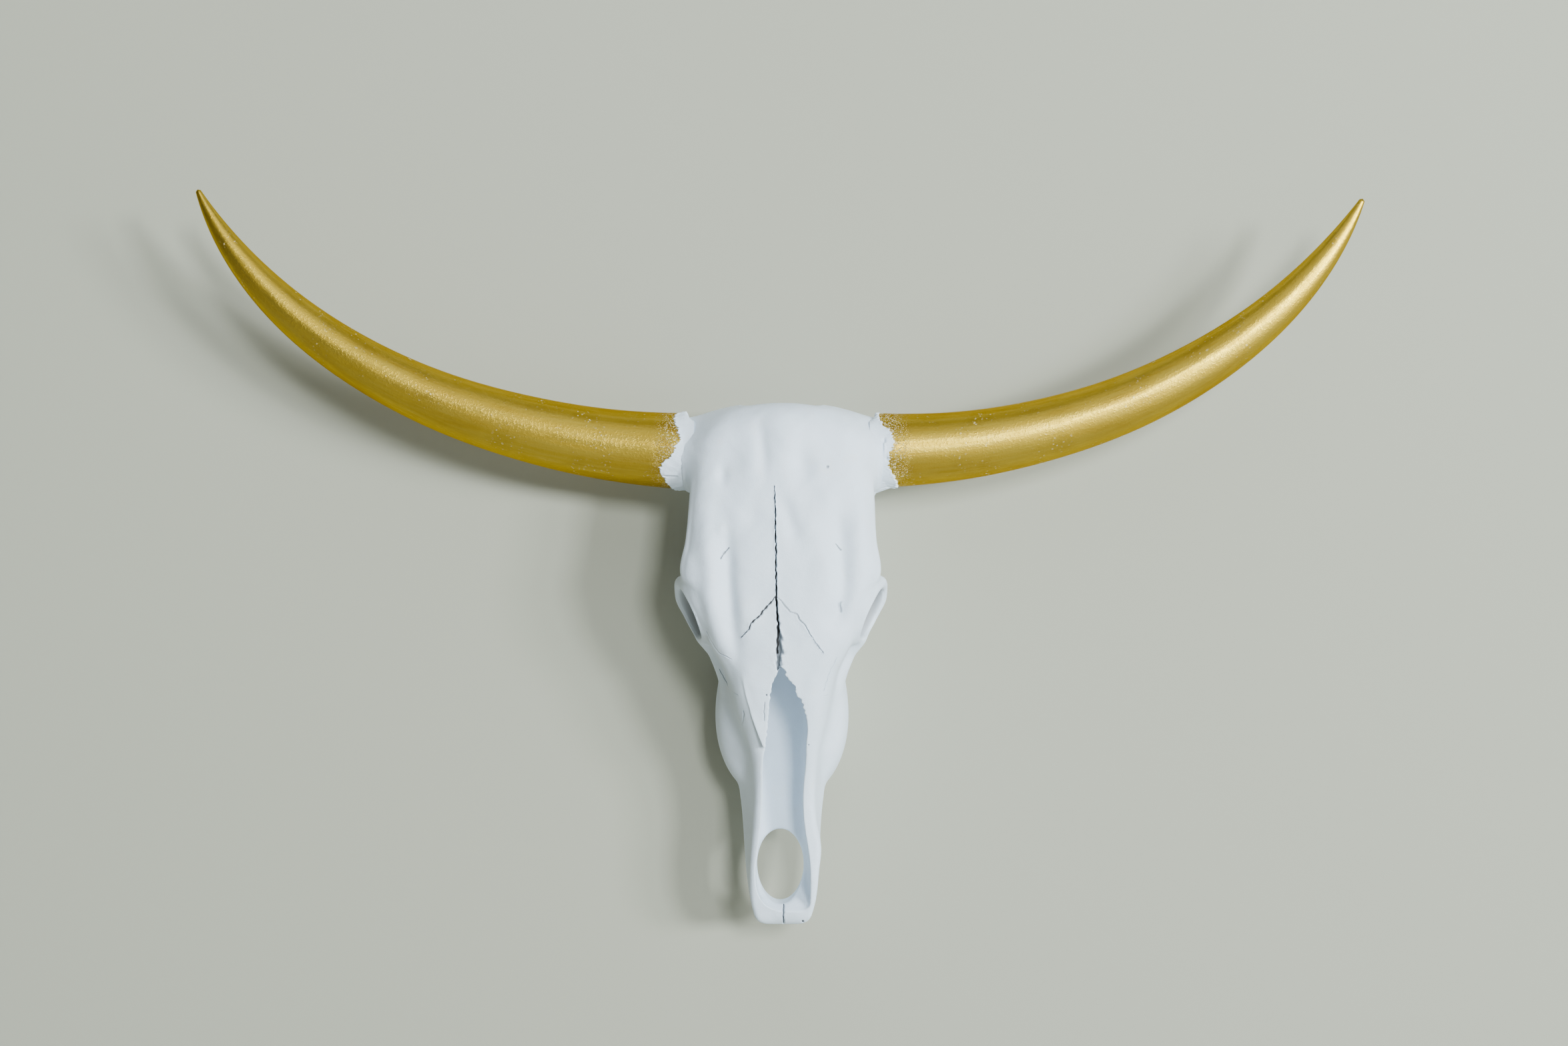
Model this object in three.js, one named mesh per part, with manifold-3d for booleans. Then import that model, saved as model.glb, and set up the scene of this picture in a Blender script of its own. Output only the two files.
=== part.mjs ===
// A life-size longhorn steer skull, cast in resin as a wall ornament: white bone, gilded horns and
// a steel keyhole plate let into its back. Millimetres, +Z up. Left is -X and right is +X, as seen
// from the front. The wall is the plane y = 0, the skull hangs in front of it at y < 0, and the
// origin is the middle of the pad that rests on the wall. Depth means the distance out of the wall.
import * as THREE from "three";
import { mergeVertices } from "three/addons/utils/BufferGeometryUtils.js";
import Module from "manifold-3d";

const wasm = await Module();
wasm.setup();

// ---------------------------------------------------------------- driving dimensions
const PART_GAP = 0.3; // thin cut between two neighbouring pieces
const CROWN = { top: 47, sideDrop: 21, depthDrop: 8, halfWidth: 88, depth: 82, halfDepth: 60 };
const MUZZLE_END_Z = -459;
const FOREHEAD_BOW = 9; // how far the forehead falls back at its sides
const SIDE_DEPTH = 58; // depth at which the side half width of a level applies
const EDGE_ROUND = 1.2; // broken bone edges of the nose and palate
// How softly each form runs into the ones before it.
const BLEND = {
  crown: 26,
  back: 8,
  muzzle: 12,
  cheek: 14,
  cheekLow: 4, // near the cheek's lower corner
  cheekEnd: 4,
  temple: 14,
  rim: 8,
  cheekbone: 10,
  boss: 12,
  base: 10,
  vault: 8,
  socket: 4,
  channel: 10,
  channelTop: 4,
};

const EYE = {
  x: 84,
  rightInset: 2, // the right socket sits a little nearer the middle
  depth: 104,
  z: -152,
  rimRadius: 28.4,
  rimThickness: 6.6,
  forward: 0.25, // turn of its axis, radians
  down: 0.4,
};
const EYE_SPUR = { thickness: 1.8, z: -145, reach: 10, rear: 96, front: 116 }; // outer corner of the rim
const EYE_HOLLOW = { inset: 4.5, forward: 0.4, radius: 25, bowlStart: 8, bowlStretch: 0.75 };
const CHEEK = { x: 20.7, depth: 36, z: -258, halfWidth: 45, halfDepth: 50, halfHeight: 77, endZ: -331 };
const CHEEK_CORNER = { from: -285, to: -312 }; // where the fillet beside the cheek tightens
const CHEEKBONE = {
  socket: { x: 68, depth: 88, z: -182, radius: 8 },
  jaw: { x: 50, depth: 74, z: -226, radius: 8 },
  archEnd: { x: 54, depth: 20, z: -122, radius: 11 },
};
const TEMPLE = { x: 104, depth: 74, z: -82, halfWidth: 38, halfDepth: 44, halfHeight: 46 };
const BASE_HOLLOW = { x: 42, depth: -4, z: -134, halfWidth: 24, halfDepth: 40, halfHeight: 46 };
const VAULT = { x: 0, depth: -6, z: -270, halfWidth: 26, halfDepth: 44, halfHeight: 84 };
const PALATE_HOLE = { x: -1.6, z: -403, halfWidth: 22.8, halfHeight: 34.6, frontDepth: 100 };
const BOSS = { startX: 50, neckX: 90, endX: 112, depth: 76, z: -1, radius: 32.5, flare: 4 };

const NOSE = { roofZ: -198, innerHalfWidth: 24, boneThickness: 6.5, topZ: -176 };
const NASAL_TIP = { rootX: -38, x: -19, rootZ: -205, z: -282, rootDepth: 142, depth: 128 };

const HORN_START_X = 99;
const HORN_DEPTH = 76; // of the base's centre
const HORN_TIP_RADIUS = 2.8;
const HORN_FORWARD = { start: 1, growth: 4 }; // heading towards the viewer, degrees
const HORN_RINGS = 18;
const HORN_SIDES = 14;
// Heading above the horizontal in degrees is start + growth * t + curl * t^3 along the length.
const HORNS = {
  left: { z: 0.7, start: 2.9, growth: 39, curl: 24.9, radius: 37.7, taper: 0.59, blunt: 5.5, length: 551 },
  right: { z: 1.3, start: 0.5, growth: 46.2, curl: 16.9, radius: 36.1, taper: 0.53, blunt: 5.3, length: 543 },
};

const PLATE = { width: 44, height: 70, thickness: 2.5, corner: 6, z: -17 };
const KEYHOLE = { headRadius: 5.5, slotRadius: 2.8, headZ: -6, slotTopZ: 8, pocketDepth: 9 };
const SCREW = {
  headRadius: 3.8,
  headHeight: 2,
  sink: 0.2, // of the head's face under the plate's
  shankRadius: 1.8,
  pointHeight: 3,
  length: 14,
  offset: 28,
  clearance: 0.5,
};

// One row for each level of the skull: front and back depth, half widths at the left and right of
// the front, at the sides and at the back, and how round the front corners are.
const LEVELS = [
  { z: 60, front: 132, back: -6, left: 86, right: 86, side: 80, rear: 56, round: 34 },
  { z: 0, front: 142, back: -6, left: 92, right: 92, side: 80, rear: 56, round: 34 },
  { z: -45, front: 148, back: -6, left: 96, right: 96, side: 74, rear: 54, round: 30 },
  { z: -85, front: 151, back: 0, left: 101.5, right: 99, side: 72, rear: 48, round: 28 },
  { z: -118, front: 153, back: 10, left: 105.5, right: 101.5, side: 76, rear: 42, round: 26 },
  { z: -136, front: 153, back: 14, left: 92, right: 89, side: 76, rear: 42, round: 24 },
  { z: -150, front: 153, back: 16, left: 84, right: 81, side: 76, rear: 42, round: 24 },
  { z: -182, front: 150, back: 14, left: 70, right: 66, side: 68, rear: 46, round: 23 },
  { z: -212, front: 144, back: 8, left: 51, right: 50, side: 58, rear: 52, round: 24 },
  { z: -250, front: 134, back: 10, left: 38, right: 40, side: 54, rear: 50, round: 20 },
  { z: -290, front: 116, back: 24, left: 26.5, right: 33, side: 46, rear: 40, round: 10 },
  { z: -330, front: 104, back: 40, left: 23.8, right: 30, side: 41.5, rear: 40, round: 6 },
  { z: -352, front: 101, back: 46, left: 25.5, right: 32, side: 39, rear: 38, round: 6 },
  { z: -382, front: 99, back: 49, left: 28.5, right: 38, side: 37, rear: 35, round: 6 },
  { z: -404, front: 98, back: 50, left: 30.5, right: 36, side: 35.5, rear: 34, round: 6 },
  { z: -432, front: 94, back: 54, left: 30, right: 33, side: 32, rear: 30, round: 5 },
  { z: -470, front: 80, back: 60, left: 22, right: 24, side: 24, rear: 22, round: 5 },
];

// The two edges of the nose opening as the front view shows them.
const NOSE_EDGES = [
  { z: -170, left: 5, right: -9 },
  { z: -190, left: -4, right: -1 },
  { z: -210, left: -4.6, right: 4.2 },
  { z: -236, left: -10.9, right: 18.3 },
  { z: -266, left: -13.4, right: 24.6 },
  { z: -294, left: -17.9, right: 23.0 },
  { z: -330, left: -18.6, right: 20.2 },
  { z: -352, left: -19.6, right: 20.9 },
  { z: -400, left: -24.4, right: 27.2 },
  { z: -422, left: -24, right: 27.4 },
  { z: -436, left: -17, right: 27 },
  { z: -447, left: -4, right: 25.5 },
  { z: -470, left: 0, right: 25 },
];

// Depth of the floor of the nose channel.
const NOSE_FLOOR = [
  { z: -190, depth: 96 },
  { z: -215, depth: 74 },
  { z: -260, depth: 64 },
  { z: -370, depth: 60 },
  { z: -420, depth: 65 },
  { z: -433, depth: 80 },
  { z: -442, depth: 88 },
  { z: -447, depth: 93 },
  { z: -453, depth: 112 },
];

// ---------------------------------------------------------------- field helpers
const clamp = (v, low, high) => Math.min(high, Math.max(low, v));
const mix = (a, b, t) => a + (b - a) * t;

function smoothMin(a, b, radius) {
  const h = Math.max(radius - Math.abs(a - b), 0) / radius;
  return Math.min(a, b) - (h * h * radius) / 4;
}

function smoothMax(a, b, radius) {
  return -smoothMin(-a, -b, radius);
}

// Reads one column of a table of levels at height z, on a smooth curve through its rows.
function levelAt(rows, key, z) {
  let i = 0;
  while (i < rows.length - 2 && z < rows[i + 1].z) i += 1;
  const before = rows[Math.max(i - 1, 0)];
  const from = rows[i];
  const to = rows[i + 1];
  const after = rows[Math.min(i + 2, rows.length - 1)];
  const span = to.z - from.z;
  const t = clamp((z - from.z) / span, 0, 1);
  const slope = (a, b) => (b.z === a.z ? 0 : (b[key] - a[key]) / (b.z - a.z));
  const startSlope = (slope(before, from) + slope(from, to)) / 2;
  const endSlope = (slope(from, to) + slope(to, after)) / 2;
  const ease = t * t * (3 - 2 * t);
  const lift = t * (1 - t) * span;
  return mix(from[key], to[key], ease) + lift * ((1 - t) * startSlope - t * endSlope);
}

// Rough distance to an ellipsoid that is the same on both sides of the skull, negative inside.
function ellipsoid(x, depth, z, shape) {
  const scaled = Math.hypot(
    (Math.abs(x) - shape.x) / shape.halfWidth,
    (depth - shape.depth) / shape.halfDepth,
    (z - shape.z) / shape.halfHeight,
  );
  return (scaled - 1) * Math.min(shape.halfWidth, shape.halfDepth, shape.halfHeight);
}

// Distance to a rod with round ends whose radius changes from one end to the other.
function taperedRod(x, depth, z, from, to) {
  const axis = [to.x - from.x, to.depth - from.depth, to.z - from.z];
  const rel = [Math.abs(x) - from.x, depth - from.depth, z - from.z];
  const dot = (a, b) => a[0] * b[0] + a[1] * b[1] + a[2] * b[2];
  const t = clamp(dot(rel, axis) / dot(axis, axis), 0, 1);
  const off = Math.hypot(rel[0] - axis[0] * t, rel[1] - axis[1] * t, rel[2] - axis[2] * t);
  return off - mix(from.radius, to.radius, t);
}

// ---------------------------------------------------------------- the skull's forms
// Forehead, brain case, nose ridge and muzzle as one long tapering body.
function faceForm(x, depth, z) {
  const level = (key) => levelAt(LEVELS, key, z);
  const front = level("front");
  const side = level("side");
  const ax = Math.abs(x);
  const forward = clamp((front - depth) / (front - SIDE_DEPTH), 0, 1);
  const backward = clamp((SIDE_DEPTH - depth) / SIDE_DEPTH, 0, 1);
  const frontWidth = mix(level(x < 0 ? "left" : "right"), side, forward);
  const halfWidth = depth > SIDE_DEPTH ? frontWidth : mix(side, level("rear"), backward);
  const bow = FOREHEAD_BOW * (ax / CROWN.halfWidth) ** 2;
  const crownDrop = CROWN.sideDrop * (ax / CROWN.halfWidth) ** 2;
  const crown = CROWN.top - crownDrop - CROWN.depthDrop * ((depth - CROWN.depth) / CROWN.halfDepth) ** 2;
  let form = smoothMax(ax - halfWidth, depth - front + bow, level("round"));
  form = smoothMax(form, level("back") - depth, BLEND.back);
  form = smoothMax(form, z - crown, BLEND.crown);
  return smoothMax(form, MUZZLE_END_Z - z, BLEND.muzzle);
}

// Deep side wall of the upper jaw.
function cheekForm(x, depth, z) {
  const across = (Math.abs(x) - CHEEK.x) / CHEEK.halfWidth;
  const deep = (depth - CHEEK.depth) / CHEEK.halfDepth;
  const along = (z - CHEEK.z) / CHEEK.halfHeight;
  const scaled = (Math.hypot(across, along) ** 3 + Math.abs(deep) ** 3) ** (1 / 3);
  return smoothMax((scaled - 1) * CHEEK.halfWidth, CHEEK.endZ - z, BLEND.cheekEnd);
}

// Distance along an axis through the eye, which looks outwards, a little forward and down, and away
// from that axis.
function eyeFrame(x, depth, z, inset, forward) {
  const middle = x > 0 ? EYE.x - EYE.rightInset : EYE.x;
  const rel = new THREE.Vector3(Math.abs(x) - middle + inset, depth - EYE.depth, z - EYE.z);
  const axis = new THREE.Vector3(Math.cos(forward), Math.sin(forward), -Math.tan(EYE.down));
  const along = rel.dot(axis.normalize());
  return { along, away: Math.sqrt(Math.max(rel.lengthSq() - along * along, 0)) };
}

// Ring of bone round the eye, thickest at its outer corner.
function eyeRimForm(x, depth, z) {
  const { along, away } = eyeFrame(x, depth, z, 0, EYE.forward);
  const rear = 1 - THREE.MathUtils.smoothstep(depth, EYE_SPUR.rear, EYE_SPUR.front);
  const spur = EYE_SPUR.thickness * rear * Math.exp(-(((z - EYE_SPUR.z) / EYE_SPUR.reach) ** 2));
  return Math.hypot(along, away - EYE.rimRadius) - EYE.rimThickness - spur;
}

// A tube out through the rim that ends inside in a bowl.
function eyeSocketHollow(x, depth, z) {
  const { along, away } = eyeFrame(x, depth, z, EYE_HOLLOW.inset, EYE_HOLLOW.forward);
  const inward = Math.min(along + EYE_HOLLOW.bowlStart, 0) * EYE_HOLLOW.bowlStretch;
  return Math.max(Math.hypot(inward, away) - EYE_HOLLOW.radius, along - EYE.rimRadius);
}

// Ridge from the eye socket down to the cheek, and the arch that runs from it back to the wall side.
function cheekboneForm(x, depth, z) {
  const { socket, jaw, archEnd } = CHEEKBONE;
  const ridge = taperedRod(x, depth, z, socket, jaw);
  return smoothMin(ridge, taperedRod(x, depth, z, socket, archEnd), BLEND.cheekbone);
}

// Bone core that carries a horn.
function bossForm(x, depth, z) {
  const past = clamp((Math.abs(x) - BOSS.neckX) / (HORN_START_X - BOSS.neckX), 0, 1);
  const before = clamp((BOSS.neckX - Math.abs(x)) / (BOSS.neckX - BOSS.startX), 0, 1);
  const radius = BOSS.radius + BOSS.flare * (past + before * before);
  const away = Math.hypot(depth - BOSS.depth, z - BOSS.z) - radius;
  return Math.max(away, Math.abs(x) - BOSS.endX, BOSS.startX - Math.abs(x));
}

// Free tip of the left nasal bone, which overhangs the channel.
function nasalTipForm(x, depth, z) {
  const t = clamp((NASAL_TIP.rootZ - z) / (NASAL_TIP.rootZ - NASAL_TIP.z), 0, 1);
  const middle = mix(NASAL_TIP.rootDepth, NASAL_TIP.depth, t) - NOSE.boneThickness / 2;
  const outer = mix(NASAL_TIP.rootX, NASAL_TIP.x, t ** 1.6);
  const across = Math.max(outer - x, x - levelAt(NOSE_EDGES, "left", z));
  const thick = Math.abs(depth - middle) - NOSE.boneThickness / 2;
  const span = Math.max(NASAL_TIP.z - z, z - NASAL_TIP.rootZ);
  return smoothMax(smoothMax(across, thick, EDGE_ROUND), span, EDGE_ROUND);
}

// Channel of the nose: an opening between its two edges, and a wider room under the nasal bones.
function noseHollow(x, depth, z) {
  const left = levelAt(NOSE_EDGES, "left", z);
  const right = levelAt(NOSE_EDGES, "right", z);
  const opening = Math.max(left - x, x - right);
  const ceiling = levelAt(LEVELS, "front", z) - NOSE.boneThickness;
  const across = Math.abs(x - (left + right) / 4) - NOSE.innerHalfWidth;
  const room = Math.max(smoothMax(across, depth - ceiling, BLEND.channel), z - NOSE.roofZ);
  const floor = levelAt(NOSE_FLOOR, "depth", z);
  const hollow = smoothMax(Math.min(opening, room), floor - depth, BLEND.channel);
  return smoothMax(hollow, z - NOSE.topZ, BLEND.channelTop);
}

function palateHollow(x, depth, z) {
  const across = (x - PALATE_HOLE.x) / PALATE_HOLE.halfWidth;
  const along = (z - PALATE_HOLE.z) / PALATE_HOLE.halfHeight;
  const away = (Math.hypot(across, along) - 1) * PALATE_HOLE.halfWidth;
  return Math.max(away, depth - PALATE_HOLE.frontDepth);
}

// The whole cast: negative inside, and near the surface about the distance to it.
function skullField(x, y, z) {
  const depth = -y;
  const { from, to } = CHEEK_CORNER;
  const fillet = mix(BLEND.cheek, BLEND.cheekLow, THREE.MathUtils.smoothstep(-z, -from, -to));
  let form = smoothMin(faceForm(x, depth, z), cheekForm(x, depth, z), fillet);
  form = smoothMax(form, -ellipsoid(x, depth, z, TEMPLE), BLEND.temple);
  form = smoothMin(form, eyeRimForm(x, depth, z), BLEND.rim);
  form = smoothMin(form, cheekboneForm(x, depth, z), BLEND.cheekbone);
  form = smoothMin(form, bossForm(x, depth, z), BLEND.boss);
  form = smoothMax(form, -ellipsoid(x, depth, z, BASE_HOLLOW), BLEND.base);
  form = smoothMax(form, -ellipsoid(x, depth, z, VAULT), BLEND.vault);
  form = smoothMax(form, -eyeSocketHollow(x, depth, z), BLEND.socket);
  form = smoothMax(form, -noseHollow(x, depth, z), EDGE_ROUND);
  form = smoothMin(form, nasalTipForm(x, depth, z), EDGE_ROUND);
  return smoothMax(form, -palateHollow(x, depth, z), 2 * EDGE_ROUND);
}

// ---------------------------------------------------------------- from a field to a closed surface
// Evenly spaced grid lines that reach one step past both ends of a range.
function gridLines([from, to], step) {
  const count = Math.ceil((to - from) / step) + 2;
  return Array.from({ length: count + 1 }, (_, i) => (from + to) / 2 + (i - count / 2) * step);
}

// Corners of a grid cell as bits (1 = x, 2 = y, 4 = z), its edges, and the corners of each face.
const CELL_EDGES = [1, 2, 4].flatMap((bit) =>
  [0, 1, 2, 3, 4, 5, 6, 7].filter((corner) => !(corner & bit)).map((corner) => [corner, corner | bit]),
);
const CELL_FACES = [
  [1, 2, 4],
  [2, 4, 1],
  [4, 1, 2],
].flatMap(([u, v, w]) => [0, w].map((side) => [side, side | u, side | u | v, side | v]));
const edgeIndex = (a, b) => CELL_EDGES.findIndex(([p, q]) => p === Math.min(a, b) && q === Math.max(a, b));
const FACE_EDGES = CELL_FACES.map((face) => face.map((corner, i) => edgeIndex(corner, face[(i + 1) % 4])));

// For each pattern of inside corners, the crossed edges that share one vertex have one number.
function edgeGroups(pattern) {
  const inside = (corner) => (pattern >> corner) & 1;
  const group = CELL_EDGES.map((_, i) => i);
  const find = (i) => (group[i] === i ? i : find(group[i]));
  const join = (a, b) => {
    group[find(a)] = find(b);
  };
  CELL_FACES.forEach((face, f) => {
    const crossed = FACE_EDGES[f].filter((e) => inside(CELL_EDGES[e][0]) !== inside(CELL_EDGES[e][1]));
    if (crossed.length === 2) join(crossed[0], crossed[1]);
    if (crossed.length === 4)
      face.forEach((corner, i) => {
        if (inside(corner)) join(FACE_EDGES[f][i], FACE_EDGES[f][(i + 3) % 4]);
      });
  });
  return CELL_EDGES.map(([a, b], i) => (inside(a) === inside(b) ? -1 : find(i)));
}
const EDGE_GROUPS = Array.from({ length: 256 }, (_, pattern) => edgeGroups(pattern));

// Faces of a cell on which both sheets of a double crossing belong to one vertex.
const PINCHED = EDGE_GROUPS.map((groups) =>
  FACE_EDGES.map((edges) => edges.every((e) => groups[e] >= 0 && groups[e] === groups[edges[0]])),
);

// A field sampled on a grid, and the vertices of its zero surface.
class FieldGrid {
  constructor(field, xs, ys, zs) {
    this.field = field;
    this.lines = [xs, ys, zs];
    this.size = this.lines.map((line) => line.length);
    this.value = new Float64Array(this.size[0] * this.size[1] * this.size[2]);
    this.crossings = new Map();
    this.eachPoint(this.size, (...point) => {
      this.value[this.at(point)] = field(...this.place(point));
    });
    while (this.fillPinches() > 0);
  }

  at([i, j, k]) {
    return i + this.size[0] * (j + this.size[1] * k);
  }

  place(point) {
    return point.map((n, axis) => this.lines[axis][n]);
  }

  inside(point) {
    return this.value[this.at(point)] < 0;
  }

  eachPoint([nx, ny, nz], visit) {
    for (let k = 0; k < nz; k += 1)
      for (let j = 0; j < ny; j += 1) for (let i = 0; i < nx; i += 1) visit(i, j, k);
  }

  eachCell(visit) {
    const cells = this.size.map((n) => n - 1);
    this.eachPoint(cells, (...cell) => visit(cell));
  }

  corner([i, j, k], c) {
    return [i + (c & 1), j + ((c >> 1) & 1), k + ((c >> 2) & 1)];
  }

  pattern(cell) {
    let bits = 0;
    for (let c = 0; c < 8; c += 1) if (this.inside(this.corner(cell, c))) bits |= 1 << c;
    return bits;
  }

  // Fills gaps narrower than a cell that would leave two sheets touching along one edge.
  fillPinches() {
    let filled = 0;
    const inner = this.size.map((n) => n - 2);
    this.eachPoint(inner, (...cell) => {
      [2, 0, 1].forEach((axis, pair) => {
        const next = cell.map((n, a) => (a === axis ? n + 1 : n));
        if (!PINCHED[this.pattern(cell)][2 * pair + 1] || !PINCHED[this.pattern(next)][2 * pair]) return;
        const gap = CELL_FACES[2 * pair + 1].find((c) => !this.inside(this.corner(cell, c)));
        this.value[this.at(this.corner(cell, gap))] = -0.01;
        filled += 1;
      });
    });
    return filled;
  }

  slope(p) {
    const h = 0.2;
    const along = (dx, dy, dz) =>
      this.field(p.x + dx, p.y + dy, p.z + dz) - this.field(p.x - dx, p.y - dy, p.z - dz);
    return new THREE.Vector3(along(h, 0, 0), along(0, h, 0), along(0, 0, h)).normalize();
  }

  // Where the surface crosses one edge of a cell, and its outward direction there.
  crossing(cell, edge) {
    const [a, b] = CELL_EDGES[edge].map((c) => this.corner(cell, c));
    const key = `${this.at(a)} ${this.at(b)}`;
    if (this.crossings.has(key)) return this.crossings.get(key);
    let [low, high] = this.inside(a) ? [a, b] : [b, a];
    low = new THREE.Vector3(...this.place(low));
    high = new THREE.Vector3(...this.place(high));
    const point = new THREE.Vector3();
    for (let round = 0; round < 9; round += 1) {
      point.lerpVectors(low, high, 0.5);
      if (this.field(point.x, point.y, point.z) < 0) low.copy(point);
      else high.copy(point);
    }
    this.crossings.set(key, { point, normal: this.slope(point) });
    return this.crossings.get(key);
  }

  // The point in a cell that lies best on the planes of the surface at its crossings.
  bestPoint(cell, edges) {
    const crossings = edges.map((e) => this.crossing(cell, e));
    const middle = new THREE.Vector3();
    for (const { point } of crossings) middle.addScaledVector(point, 1 / edges.length);
    const softness = 0.06;
    const sums = [softness, 0, 0, 0, softness, 0, 0, 0, softness];
    const pull = new THREE.Vector3();
    for (const { point, normal } of crossings) {
      const n = normal.toArray();
      n.forEach((a, row) => n.forEach((b, column) => (sums[3 * row + column] += a * b)));
      pull.addScaledVector(normal, point.clone().sub(middle).dot(normal));
    }
    const best = pull.applyMatrix3(new THREE.Matrix3().fromArray(sums).invert()).add(middle);
    const low = new THREE.Vector3(...this.place(cell));
    const high = new THREE.Vector3(...this.place(cell.map((n) => n + 1)));
    const rim = high.clone().sub(low).multiplyScalar(0.02);
    return best.clamp(low.add(rim), high.sub(rim));
  }

  // The vertex number of each crossed edge of a cell, with one vertex for each sheet in it.
  cellVertices(cell, positions) {
    const groups = EDGE_GROUPS[this.pattern(cell)];
    const numbers = new Map();
    for (const group of new Set(groups.filter((g) => g >= 0))) {
      const edges = [...groups.keys()].filter((e) => groups[e] === group);
      numbers.set(group, positions.length / 3);
      positions.push(...this.bestPoint(cell, edges).toArray());
    }
    return groups.map((group) => numbers.get(group));
  }
}

// Splits a quad along its shorter diagonal.
function quadFaces(positions, [p, q, r, s]) {
  const [a, b, c, d] = [p, q, r, s].map((n) => new THREE.Vector3().fromArray(positions, 3 * n));
  return a.distanceTo(c) <= b.distanceTo(d) ? [p, q, r, p, r, s] : [q, r, s, q, s, p];
}

// A closed mesh of the surface where field is zero.
function contour(field, xs, ys, zs) {
  const grid = new FieldGrid(field, xs, ys, zs);
  const positions = [];
  const faces = [];
  const vertices = new Map();
  grid.eachCell((cell) => vertices.set(grid.at(cell), grid.cellVertices(cell, positions)));
  const turns = [
    [1, 1],
    [0, 1],
    [0, 0],
    [1, 0],
  ];
  // The vertices of the four cells round the grid edge that leaves a point along an axis.
  const around = (point, axis) => {
    const [u, v] = [(axis + 1) % 3, (axis + 2) % 3];
    return turns.map(([p, q]) => {
      const cell = [...point];
      cell[u] -= p;
      cell[v] -= q;
      const low = (p << u) | (q << v);
      return vertices.get(grid.at(cell))[edgeIndex(low, low | (1 << axis))];
    });
  };
  grid.eachCell((point) => {
    [0, 1, 2].forEach((axis) => {
      const next = point.map((n, a) => (a === axis ? n + 1 : n));
      const here = grid.inside(point);
      if (here === grid.inside(next)) return;
      const ring = around(point, axis);
      faces.push(...quadFaces(positions, here ? ring : ring.reverse()));
    });
  });
  return new THREE.BufferGeometry()
    .setAttribute("position", new THREE.Float32BufferAttribute(positions, 3))
    .setIndex(faces);
}

// ---------------------------------------------------------------- solids
// A closed geometry as a solid that can be cut and joined.
function solid(geometry) {
  const bare = geometry.clone();
  bare.deleteAttribute("normal");
  bare.deleteAttribute("uv");
  const merged = mergeVertices(bare, 1e-3);
  const mesh = { numProp: 3, vertProperties: merged.attributes.position.array };
  return new wasm.Manifold(new wasm.Mesh({ ...mesh, triVerts: new Uint32Array(merged.index.array) }));
}

function geometryOf(part) {
  const mesh = part.getMesh();
  return new THREE.BufferGeometry()
    .setAttribute("position", new THREE.BufferAttribute(mesh.vertProperties, 3))
    .setIndex(new THREE.BufferAttribute(mesh.triVerts, 1));
}

// A box between two corners, grown by a margin on every side. Its second range is depth.
function block({ x, depth, z }, margin = 0) {
  const size = [x, depth, z].map(([low, high]) => high - low + 2 * margin);
  const middle = [x, depth, z].map(([low, high]) => (low + high) / 2);
  return solid(new THREE.BoxGeometry(...size).translate(middle[0], -middle[1], middle[2]));
}

// The largest body of a cut piece, without the crumbs a cut can leave.
function wholePiece(part) {
  return part.decompose().sort((a, b) => b.volume() - a.volume())[0];
}

// The share of the skull that lies in one box, contoured on a grid of its own.
function skullPiece({ x, depth, z, steps }) {
  const ranges = [x, [-depth[1], -depth[0]], z];
  const lines = ranges.map((range, axis) => gridLines(range, steps[axis]));
  const outside = (point) =>
    Math.max(...ranges.map(([low, high], axis) => Math.max(low - point[axis], point[axis] - high)));
  const field = (...point) => Math.max(skullField(...point), outside(point) - CUT.allowance);
  return solid(contour(field, ...lines)).intersect(block({ x, depth, z }));
}

// ---------------------------------------------------------------- sub-parts
const CUT = { craniumZ: -188, muzzleZ: -338, crackX: -2.4, coreX: 91, archDepth: 62, allowance: 2.5 };
const CRANIUM_BOX = { x: [-106, 106], depth: [0, 158], z: [CUT.craniumZ, 56], steps: [16, 16, 17] };
const CORE_RANGE = [CUT.coreX, HORN_START_X - PART_GAP];
const CORE_BOX = { x: CORE_RANGE, depth: [30, 122], z: [-46, 46], steps: [3.8, 13, 13] };
const ORBIT_BOX = { x: [64, 106], depth: [CUT.archDepth, 158], z: [-190, -110], steps: [6.7, 7.2, 7.2] };
const ARCH_DEPTHS = [0, CUT.archDepth - PART_GAP];
const ARCH_BOX = { x: [56, 106], depth: ARCH_DEPTHS, z: [-190, -100], steps: [9.5, 9.5, 9.5] };
const NASAL_BOX = { reach: 36, depth: [86, 152], z: [CUT.muzzleZ, CUT.craniumZ], steps: [6.5, 6.5, 10.5] };
const MAXILLA_BOX = { reach: 78, depth: [0, 152], z: [CUT.muzzleZ, CUT.craniumZ], steps: [11, 13.5, 13.5] };
const PREMAXILLA_BOX = { reach: 46, depth: [36, 108], z: [-462, CUT.muzzleZ], steps: [5.6, 8.4, 10] };

const mirrored = (box) => ({ ...box, x: [-box.x[1], -box.x[0]] });
const spanning = (box, low, high) => ({ ...box, x: [low, high] });

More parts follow.
